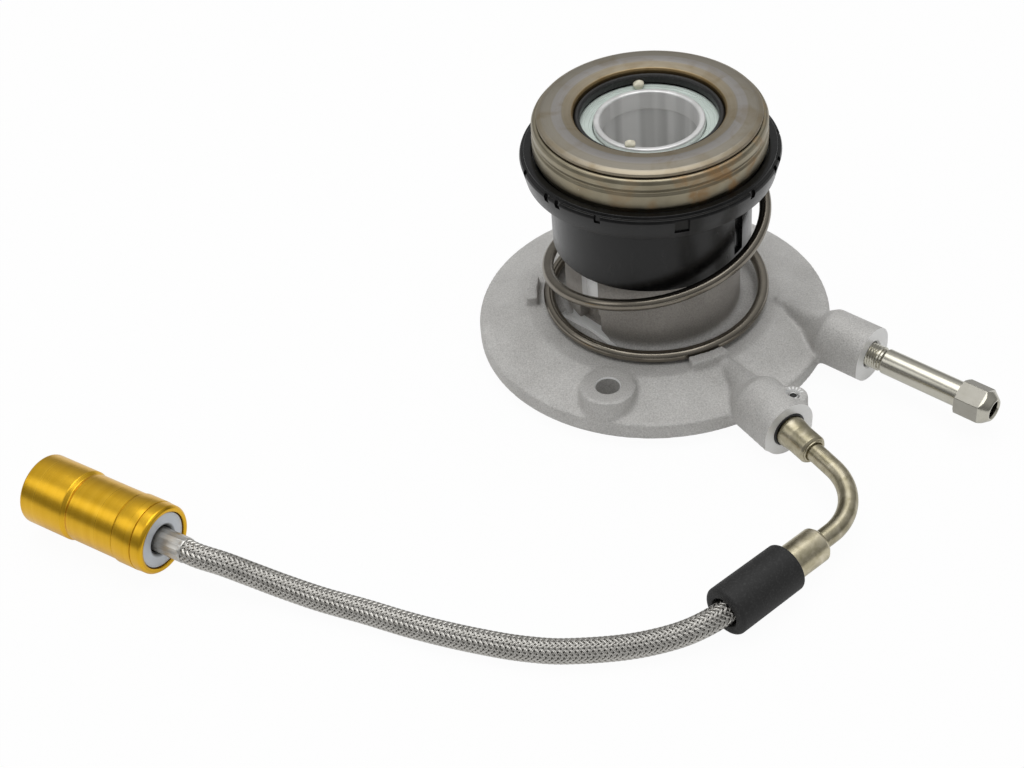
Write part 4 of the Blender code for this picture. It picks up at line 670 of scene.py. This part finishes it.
made_piece("ground_thrust_race", turned([
    (26.3, 80.5), (27.2, 80.5), (27.2, 86.9), (30.6, 86.9), (31.5, 88.2), (33.2, 88.25), (34.9, 88.2),
    (35.8, 86.9), (37.1, 86.9, 0.3), (37.6, 89.8, 0.5), (37.6, 91.1), (38.3, 91.1, 0.25), (38.2, 92.1, 0.6),
    (36.5, 92.95, 1.8), (33.2, 93.18, 1.0), (32.8, 93.2), (29.7, 93.2), (29.3, 93.1, 0.4),
    (26.1, 92.6, 0.6), (25.7, 91.8, 0.3), (25.7, 90.2), (26.3, 89.6)], 180),
    race_paint, "thrust_race", ["thrust_race"])

polished_paint, polished = material("polished_steel", Metallic=1.0)
haze = polished.noise(1.2, 2.0)
paint(polished_paint, Base_Color=polished.mix((0.62, 0.62, 0.61), (0.72, 0.72, 0.71), haze),
      Roughness=0.12 + 0.1 * haze)
cage_paint, cage = material("moulded_cage", Specular_IOR_Level=0.4)
cage_grain = cage.noise(0.5, 2.0)
paint(cage_paint, Base_Color=cage.mix((0.03, 0.03, 0.03), (0.06, 0.06, 0.055), cage_grain),
      Roughness=0.45 + 0.15 * cage_grain)
refinish(cage_paint, "bearing_cage")
refinish(polished_paint, "lower_race", "coupling_poppet", *(f"bearing_ball_{n:02d}" for n in range(1, 16)),
         *(f"locking_ball_{n}" for n in range(1, 7)))
refinish(wire_paint, "retaining_ring", "sleeve_stop_ring")

# Grease
# Two blobs of cream assembly grease left over from fitting, one on the piston's nose and one on the
# mouth of the guide tube.
grease_paint, grease = material("cream_grease", Roughness=0.35)
lump = grease.noise(0.8, 3.0)
paint(grease_paint, Base_Color=grease.mix((0.62, 0.58, 0.44), (0.80, 0.77, 0.64), lump),
      Normal=grease.bump(lump, 0.03))
BLOBS = ((-3.5, 22.3, 88.2, 2.0, "piston"), (-6.4, -15.5, 88.9, 1.9, "housing"))
for number, (x, y, z, size, body) in enumerate(BLOBS, 1):
    bm = bmesh.new()
    bmesh.ops.create_icosphere(bm, subdivisions=4, radius=1.0)
    for vertex in bm.verts:
        point = vertex.co
        swell = 1.0 + 0.22 * math.sin(2.9 * point.x + number) * math.cos(2.3 * point.y)
        swell += 0.08 * math.sin(4.0 * point.z)
        vertex.co = Vector((point.x * 1.1, point.y * 0.9, point.z * 0.75)) * swell * size * MM
    blob_mesh = bpy.data.meshes.new("grease")
    bm.to_mesh(blob_mesh)
    bm.free()
    made_piece(f"grease_blob_{number}", blob_mesh, grease_paint, body,
               place=Matrix.Translation(Vector((x, y, z)) * MM), sharp=180.0)

# Bleed screw
# A zinc plated steel screw: a thread in the port, a neck, a long round shank, and a hexagon with a
# coned and drilled end. The fluid leaves through the drilling when the screw is slackened.
screw_paint, screw = material("bright_zinc_plate", Metallic=1.0)
screw_height = screw.height()
drawn = screw.noise(0.8, 3.0, stretch=(1.0, 1.0, 0.08))
plate_cloud = screw.noise(4.0, 3.0)
plate = screw.mix((0.44, 0.42, 0.35), (0.60, 0.585, 0.52), 0.6 * plate_cloud + 0.4 * drawn)
# Painted shade: the walls of the end drilling are darkened, more towards the end.
drilling_painted_shade = 1.0 - screw.radius().rise(2.9 * MM, 3.15 * MM)
plate = screw.mix(plate, (0.10, 0.09, 0.07), drilling_painted_shade * screw_height.rise(30.0 * MM, 47.0 * MM))
# The hexagon is rougher, a duller finish, and darker, which is painted shade against the lamp on its upper
# flat.
hexagon_dull_and_shaded = screw_height.band(35.8 * MM, 44.9 * MM, 0.2 * MM)
plate = screw.mix(plate, screw.multiply(plate, (0.74, 0.74, 0.76)), hexagon_dull_and_shaded)
paint(screw_paint, Base_Color=plate, Roughness=0.18 + 0.10 * drawn + 0.24 * hexagon_dull_and_shaded,
      Normal=screw.bump(0.5 * drawn + 0.5 * plate_cloud, 0.008))
HEXAGON_TWIST = math.radians(1.0)
HEXAGON_FLAT = 5.8
THREAD_DEPTH = 0.55


def screw_shape(radius, height, turn):
    """Cuts a thread of 1 mm pitch near the port and six flats on the hexagon."""
    ramp = (height / MM - turn / (2.0 * math.pi)) % 1.0
    thread = THREAD_DEPTH * MM * np.abs(2.0 * ramp - 1.0)
    threaded = (height > -7.0 * MM) & (height < 3.4 * MM) & (radius > 4.0 * MM)
    flat = (turn - HEXAGON_TWIST) % (math.pi / 3) - math.pi / 6
    six = HEXAGON_FLAT * MM / np.cos(flat)
    hexed = (height > 35.7 * MM) & (radius > 4.6 * MM)
    shaped = np.where(threaded, radius - thread, radius)
    return np.where(hexed, np.minimum(shaped, six), shaped), height


thread_line = [(4.4, round(-7.0 + 0.125 * k, 3)) for k in range(90)]
hexagon_line = [(4.55, 35.75), (6.1, 35.8), (6.6, 36.0), (6.72, 36.4)]
hexagon_line += [(6.72, 36.4 + 1.05 * k) for k in range(1, 9)]
hexagon_line += [(6.72 - 2.52 * k / 12, 44.8 + 3.2 * k / 12) for k in range(1, 13)]
made_piece("plated_bleed_screw", turned([
    (0.0, -14.6), (1.2, -14.6), (3.2, -12.4), (3.2, -8.2)] + thread_line + [
    (3.8, 4.3), (3.8, 5.0), (4.55, 6.0, 0.5)] + hexagon_line + [
    (3.9, 48.25), (3.3, 48.25, 0.2), (3.0, 47.6), (3.0, 43.3), (1.5, 41.8), (1.5, 30.0), (0.0, 30.0)], 180,
    shape=screw_shape), screw_paint, "bleed_screw", ["bleed_screw"], BLEED_PORT, 24.0)

# Inlet fitting, roll pin, elbow pipe and hose ferrule
# Steel under yellow zinc plate. The fitting plugs into the port through a rubber dust ring, and a
# slotted steel pin beside it, staked into the casting, holds it there; its bore is filled with black
# as painted shade. The pipe runs from the fitting to the crimped hose end in one bend.
def zinc(name, painted_light_scale):
    """Olive-gold zinc plate, slightly mottled. The second value scales its colour; above 1 it is painted
    light.
    """
    made, look = material(name, Metallic=1.0)
    mottle = look.noise(3.2, 4.0, distortion=0.5)
    fine = look.noise(0.5, 2.0)
    stops = ((0.3, (0.31, 0.28, 0.185)), (0.55, (0.44, 0.40, 0.29)), (0.8, (0.58, 0.535, 0.42)))
    plate_tone = look.node("ValToRGB", {"stops": stops}, {0: mottle})
    paint(made, Base_Color=look.multiply(plate_tone, (painted_light_scale, painted_light_scale, painted_light_scale)),
          Roughness=0.24 + 0.12 * mottle + 0.05 * fine, Normal=look.bump(0.5 * fine + 0.5 * mottle, 0.012))
    return made


zinc_paint = zinc("yellow_zinc_plate", 1.0)
made_piece("plated_inlet_fitting", turned([
    (2.0, -14.5), (3.9, -14.5, 0.4), (3.9, -9.6), (5.4, -9.6), (5.4, -8.36), (4.4, -8.36), (4.4, -4.24),
    (5.4, -4.24), (5.4, 0.5), (5.15, 0.6), (5.15, 0.8), (5.65, 0.95, 0.15), (5.65, 1.7, 0.3),
    (5.2, 5.6, 2.0), (5.2, 12.2, 0.6), (4.6, 13.0, 0.3), (4.2, 13.05), (4.15, 13.5, 0.2),
    (3.6, 13.5, 0.15), (3.36, 13.2), (3.36, 7.9), (2.0, 7.9)], 96),
    zinc_paint, "housing", ["inlet_fitting"], INLET_PORT)
dust_ring_line = [(5.45, -0.9), (6.3, -0.9), (6.3, 0.25, 0.25), (5.7, 0.45, 0.25), (5.45, 0.2)]
made_piece("port_dust_ring", turned(dust_ring_line, 96), seal_paint, "housing",
           place=INLET_PORT)
PIN_BORE = 1.15
PIN_FOOT = 3.2
pin_line = [(PIN_BORE, PIN_FOOT), (1.75, PIN_FOOT), (1.75, 15.5, 0.3), (PIN_BORE, 15.5, 0.15)]
made_piece("slotted_roll_pin", turned(pin_line, 60, (20.0, 350.0)), polished_paint, "housing",
           ["roll_pin"], PIN_PLACE)
# Painted shade: a black filler fills the pin's bore, where the inside lies in shade.
pin_shade_line = [(0, PIN_FOOT), (PIN_BORE, PIN_FOOT), (PIN_BORE, 14.9), (0, 14.7)]
made_piece("shade_filler_in_roll_pin", turned(pin_shade_line, 40), seal_paint, "housing", place=PIN_PLACE)
STAKES = 7
stakes = joined(*((box((2.5, -0.26, 15.4), (3.8, 0.26, 15.98), 22.0 + 21.5 * number), WORLD)
                  for number in range(STAKES)))
made_piece("staking_marks", stakes, machined_paint, "housing", place=PIN_PLACE)

HOSE_HEADING = -137.0
HOSE_END_HEIGHT = 5.2
HOSE_END = level_axis(50.5, -118.4, HOSE_END_HEIGHT, HOSE_HEADING)
ELBOW_RADIUS = 20.5 * MM
start_turn, end_turn = math.radians(INLET_HEADING), math.radians(HOSE_HEADING)
start_ahead = np.array([math.cos(start_turn), math.sin(start_turn)])
end_ahead = np.array([math.cos(end_turn), math.sin(end_turn)])
pipe_start = np.array(INLET_PORT.translation[:2])
pipe_end = np.array(HOSE_END.translation[:2])
gap = pipe_end - pipe_start
spread = start_ahead[0] * end_ahead[1] - start_ahead[1] * end_ahead[0]
reach = (gap[0] * end_ahead[1] - gap[1] * end_ahead[0]) / spread
bend = end_turn - start_turn
bend_start = reach - ELBOW_RADIUS * math.tan(abs(bend) / 2)
start_inward = np.array([start_ahead[1], -start_ahead[0]])
bend_centre = pipe_start + start_ahead * bend_start + ELBOW_RADIUS * start_inward
flat_line = [pipe_start + start_ahead * (8.2 * MM), pipe_start + start_ahead * (16.2 * MM)]
for turn in np.linspace(0.0, bend, 32) + start_turn + math.pi / 2:
    flat_line.append(bend_centre + ELBOW_RADIUS * np.array([math.cos(turn), math.sin(turn)]))
flat_line += [pipe_end, pipe_end + end_ahead * (8.0 * MM)]
flat_line = np.array(flat_line)
travelled = np.concatenate([[0.0], np.cumsum(np.linalg.norm(np.diff(flat_line, axis=0), axis=1))])
fall = np.clip((travelled - travelled[1]) / (travelled[-2] - travelled[1]), 0.0, 1.0)
PIPE_FALL = PORT_HEIGHT - HOSE_END_HEIGHT
pipe_height = (PORT_HEIGHT - PIPE_FALL * fall * fall * (3.0 - 2.0 * fall)) * MM
pipe_line = np.column_stack([flat_line, pipe_height])
PIPE_RADIUS = 3.3
PIPE_BORE = 2.5
outer_rings = swept(pipe_line, PIPE_RADIUS * MM, 40)
inner_rings = swept(pipe_line, PIPE_BORE * MM, 40)
pipe_mesh = skin(np.concatenate([outer_rings, inner_rings[::-1]]), wrap=True)
made_piece("plated_elbow_pipe", pipe_mesh, zinc_paint, "housing", ["elbow_pipe"])
ferrule_line = [(3.36, 0.3), (3.7, 0.0), (4.9, 0.0, 0.4), (5.95, 1.2, 0.7), (5.95, 34.2, 0.6), (2.0, 34.2),
                (2.0, 8.3), (3.36, 8.3)]
# The ferrule's zinc is the same plate scaled lighter: painted light.
ferrule = made_piece("plated_hose_ferrule", turned(ferrule_line, 96), zinc("zinc_plate_painted_lighter", 1.35),
                     "housing", ["hose_ferrule"], HOSE_END)

# Rubber sleeve
# A moulded rubber bend protector over the crimped ferrule, rounded at both ends. The braid comes out
# of its open end with a little room round it.
sleeve_rubber_paint = rubber("moulded_sleeve_rubber", 0.016, 0.55)
rubber_line = [(6.25, 14.7), (8.2, 14.7, 0.9), (8.35, 42.5, 1.5), (5.1, 42.5, 0.4), (4.7, 40.5), (4.7, 34.5),
               (6.25, 34.5)]
rubber_piece = made_piece("moulded_rubber_sleeve", turned(rubber_line, 96), sleeve_rubber_paint, "housing",
                          ["rubber_sleeve"], HOSE_END)

# Braided hose
# A hydraulic hose with a liner, painted near black as the shade in the gaps, under a braid of bright steel
# wire: 12 bundles wind each way at about 51 degrees to the hose, each over two and under two of the others.
HOSE_ROUTE = (
    (0.0253, -0.1419, 0.0052), (0.0195, -0.1473, 0.0051), (0.0132, -0.1512, 0.0043),
    (0.0072, -0.1535, 0.0031), (0.0002, -0.1552, 0.0020), (-0.0085, -0.1568, 0.0013),
    (-0.0186, -0.1580, 0.0012), (-0.0308, -0.1585, 0.0012), (-0.0400, -0.1576, 0.0012),
    (-0.0493, -0.1558, 0.0012), (-0.0634, -0.1520, 0.0012), (-0.0779, -0.1472, 0.0012),
    (-0.0923, -0.1416, 0.0013), (-0.1065, -0.1367, 0.0017), (-0.1189, -0.1322, 0.0029),
    (-0.1303, -0.1286, 0.0053), (-0.1391, -0.1264, 0.0079), (-0.1472, -0.1241, 0.0092),
    (-0.15247, -0.12113, 0.0092))
HOSE_RADIUS = 4.1 * MM
HOSE_SAMPLES = 330
LINER_RADIUS = HOSE_RADIUS - 0.55 * MM
BUNDLES = 12
BUNDLE_WIRES = 4
BRAID_ANGLE = math.radians(51.0)


def smooth_route(points, samples):
    """Points read at even steps from a smooth curve through the given ones."""
    points = np.array(points)
    points = np.vstack([2 * points[0] - points[1], points, 2 * points[-1] - points[-2]])
    place = np.linspace(0.0, len(points) - 3, samples)
    index = np.minimum(place.astype(int), len(points) - 4)
    t = (place - index)[:, None]
    a, b, c, d = (points[index + k] for k in range(4))
    curve = 2 * b + (c - a) * t + (2 * a - 5 * b + 4 * c - d) * t ** 2
    return 0.5 * (curve + (3 * b - a - 3 * c + d) * t ** 3)


hose_fine = smooth_route(HOSE_ROUTE, 1200)
hose_run = np.concatenate([[0.0], np.cumsum(np.linalg.norm(np.diff(hose_fine, axis=0), axis=1))])


def along_hose(distance):
    """Centre, top and side directions of the hose at distances from its exit."""
    centre = np.stack([np.interp(distance, hose_run, hose_fine[:, k]) for k in range(3)], axis=1)
    ahead = np.gradient(centre, axis=0)
    ahead /= np.linalg.norm(ahead, axis=1)[:, None]
    side = np.cross(ahead, (0.0, 0.0, 1.0))
    side /= np.linalg.norm(side, axis=1)[:, None]
    return centre, np.cross(side, ahead), side


braid_paint, wires = material("stainless_braid", Metallic=1.0)
tarnish = wires.noise(6.0, 3.0)
strand = wires.noise(0.45, 2.0)
wire_tone = wires.mix((0.36, 0.35, 0.325), (0.66, 0.645, 0.61), 0.3 * strand + 0.7 * tarnish)
paint(braid_paint, Base_Color=wire_tone, Roughness=0.25 + 0.08 * strand)
hose_distance = np.linspace(0.0, hose_run[-1], HOSE_SAMPLES)
hose_centre, hose_top, hose_side = along_hose(hose_distance)
core = skin(swept(hose_centre, LINER_RADIUS, 24))
core_faces = len(core.polygons)
braid_meshes = [(core, WORLD)]
twist = math.tan(BRAID_ANGLE) / HOSE_RADIUS
pitch = 2.0 * math.pi / BUNDLES
bundle_half = 0.37 * pitch
twisted = twist * hose_distance[:, None]
across = np.linspace(-1.0, 1.0, 2 * BUNDLE_WIRES + 1)[None, :]
wire_crest = 0.07 * MM * (np.arange(2 * BUNDLE_WIRES + 1) % 2)[None, :]
crest = wire_crest + 0.24 * MM * (1.0 - across ** 2)
for way in (1.0, -1.0):
    for bundle in range(BUNDLES):
        turn = bundle * pitch + way * twist * hose_distance[:, None] + bundle_half * across
        crossing = (turn + twisted) / pitch + (turn - twisted) / pitch
        weave = way * np.cos(math.pi * (crossing - 0.5) / 2.0)
        upper = HOSE_RADIUS - 0.50 * MM + 0.20 * MM * weave
        lower = upper - 0.1 * MM
        rim = np.broadcast_to(upper + crest, turn.shape)
        ring_turn = np.concatenate([turn, turn[:, -1:], turn[:, :1]], axis=1)[..., None]
        ring_out = np.concatenate([rim, lower[:, -1:], lower[:, :1]], axis=1)[..., None]
        points = hose_centre[:, None] + ring_out * (np.cos(ring_turn) * hose_top[:, None]
                                                    + np.sin(ring_turn) * hose_side[:, None])
        braid_meshes.append((skin(points), WORLD))
braid_mesh = joined(*braid_meshes)
# Painted shade: the liner is near black so that the gaps between bundles read dark.
liner_shade_paint, liner = material("hose_liner_painted_shade", Roughness=0.8)
liner_shade_tone = liner.noise(1.5, 2.0)
paint(liner_shade_paint, Base_Color=liner.mix((0.010, 0.010, 0.010), (0.030, 0.030, 0.028), liner_shade_tone))
braid_mesh.materials.append(liner_shade_paint)
braid_mesh.materials.append(braid_paint)
of_bundle = np.arange(len(braid_mesh.polygons)) >= core_faces
braid_mesh.polygons.foreach_set("material_index", of_bundle.astype(np.int32))
hose = made_piece("stainless_braided_hose", braid_mesh, None, "housing", ["braided_hose"],
                  sharp=50.0)

# Quick coupling
# A steel body screwed into a grey tail, inside a gold anodised aluminium sleeve that slides back
# against a spring to free the locking balls. The hose ends in a swaged steel ferrule in the tail.
COUPLING = level_axis(-159.9, -117.0, 9.2, 150.9)
FLUTES = 14
FLUTE_DEPTH = 0.2
swaged_paint, swaged = material("swaged_steel", Metallic=0.85)
swaged_lines = swaged.noise(0.7, 3.0, stretch=(1.0, 1.0, 0.05))
paint(swaged_paint, Base_Color=swaged.mix((0.40, 0.39, 0.365), (0.70, 0.69, 0.66), swaged_lines),
      Roughness=0.26 + 0.12 * swaged_lines, Normal=swaged.bump(swaged_lines, 0.02))


def crimp(radius, height, turn):
    """Flutes that the swaging jaws leave along the ferrule."""
    outer = radius > 3.5 * MM
    ends = np.clip(np.minimum(height + 9.2 * MM, 1.4 * MM - height) / (1.2 * MM), 0.0, 1.0)
    flute = FLUTE_DEPTH * MM * ends * np.abs(np.sin(FLUTES / 2 * turn)) ** 0.7
    return np.where(outer, radius - flute, radius), height


SWAGED_RADIUS = 4.35
crimp_line = [(2.0, -9.4), (4.2, -9.4, 0.2)] + [(SWAGED_RADIUS, -8.8 + 0.5 * k) for k in range(20)]
crimp_line += [(SWAGED_RADIUS, 6.0, 0.3), (2.0, 6.0)]
swaged_piece = made_piece("swaged_hose_ferrule", turned(crimp_line, 120, shape=crimp), swaged_paint,
                          "housing", ["swaged_ferrule"], COUPLING)

grey_paint, grey = material("grey_tail_alloy", Metallic=0.4)
tail_radius = grey.radius()
tail_lines = grey.lines(tail_radius, 0.4, 2.0)
# Painted shade: the tail's face is dark round the ferrule, where its recess lies in shade.
tail_recess_painted_shade = tail_radius.rise(5.0 * MM, 6.4 * MM)
tail_tone = grey.mix((0.20, 0.21, 0.22), grey.mix((0.64, 0.68, 0.73), (0.74, 0.78, 0.83), tail_lines), tail_recess_painted_shade)
paint(grey_paint, Base_Color=tail_tone, Roughness=0.42 + 0.1 * tail_lines, Normal=grey.bump(tail_lines, 0.01))
tail_line = [(4.5, 3.2), (5.1, 1.5, 0.3), (5.8, 0.9, 0.3), (9.6, 0.9, 0.25), (9.6, 10.0), (1.5, 10.0),
             (1.5, 6.3), (4.5, 6.3)]
tail = made_piece("grey_coupling_tail", turned(tail_line, 96), grey_paint, "housing",
                  ["coupling_tail"], COUPLING)
coupling_body_line = [
    (4.6, 10.3), (9.6, 10.3), (9.6, 14.0), (7.9, 14.0), (7.9, 47.2), (7.1, 47.2), (7.1, 49.0), (7.9, 49.0),
    (7.9, 51.8, 0.5), (5.6, 51.8, 0.6), (5.6, 43.05), (7.25, 43.05), (7.25, 40.95), (5.6, 40.95),
    (5.6, 32.4), (3.0, 32.4), (3.0, 31.6), (4.6, 30.0)]
body_piece = made_piece("steel_coupling_body", turned(coupling_body_line, 96), swaged_paint, "housing",
                        ["coupling_body"], COUPLING)

gold_paint, gold = material("gold_anodised_sleeve", Metallic=1.0)
gold_height = gold.height()
gold_along = gold_height + gold.radius()
gold_lines = gold.lines(gold_along, 0.35, 3.0)
gold_wide = gold.lines(gold_along, 2.4, 2.0)
# Painted shade: the two grooves are darkened.
groove_painted_shade = gold_height.band(4.4 * MM, 4.7 * MM, 0.12 * MM) + gold_height.band(12.5 * MM, 12.95 * MM, 0.12 * MM)
tint = gold.mix((0.68, 0.375, 0.013), (0.86, 0.52, 0.045), 0.6 * gold_wide + 0.4 * gold_lines)
tint = gold.mix(tint, (0.42, 0.24, 0.01), 0.7 * groove_painted_shade)
paint(gold_paint, Base_Color=tint, Roughness=0.24 + 0.12 * gold_lines, Normal=gold.bump(gold_lines, 0.010))
gold_line = [
    (9.9, 1.0), (9.9, 0.4, 0.3), (11.0, 0.0, 0.8), (11.9, 1.1, 0.9), (12.0, 4.35), (11.8, 4.45),
    (11.8, 4.65), (12.1, 4.75, 0.1), (12.1, 12.3, 0.2), (11.5, 12.55), (11.5, 12.85), (11.7, 13.05),
    (11.7, 32.2, 0.8), (11.3, 33.0, 0.5), (11.3, 33.5, 0.4), (12.2, 34.6, 0.6), (12.2, 52.5, 0.7),
    (9.9, 52.5, 0.5), (9.9, 47.2), (8.3, 47.2), (8.3, 43.4), (9.9, 43.4), (9.9, 37.7), (8.95, 37.7),
    (8.95, 33.9), (9.9, 33.9)]
gold_piece = made_piece("gold_coupling_sleeve", turned(gold_line), gold_paint, "coupling_sleeve",
                        ["coupling_sleeve"], COUPLING)


def small_coil(radius, turns, low, high, wire):
    """Mesh of a small compression spring about local Z, in millimetres."""
    angle = np.linspace(0.0, 2.0 * math.pi * turns, 36 * turns)
    height = low + (high - low) * np.linspace(0.0, 1.0, len(angle))
    line = np.stack([radius * np.cos(angle), radius * np.sin(angle), height], axis=1) * MM
    return skin(swept(line, wire * MM, 10))


COILS = (("sleeve_coil", "coupling_spring", 8.9, 5, 14.7, 33.2, 0.4, "coupling_sleeve_slide", 5.0),
         ("poppet_coil", "poppet_spring", 3.1, 4, 10.6, 26.8, 0.3, "coupling_poppet_slide", 3.0))
springs = []
for name, node, radius, turns, low, high, wire, joint, travel in COILS:
    spring_piece = made_piece(name, small_coil(radius, turns, low, high, wire), wire_paint, "housing",
                              [node], COUPLING)
    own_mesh(spring_piece)
    springs.append(spring_piece)

on_hose = [ferrule, rubber_piece, swaged_piece, tail, body_piece, gold_piece, *springs]
on_hose += [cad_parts[node] for node in ("coupling_seal", "coupling_poppet", "sleeve_stop_ring",
                                              *(f"locking_ball_{n}" for n in range(1, 7)))]
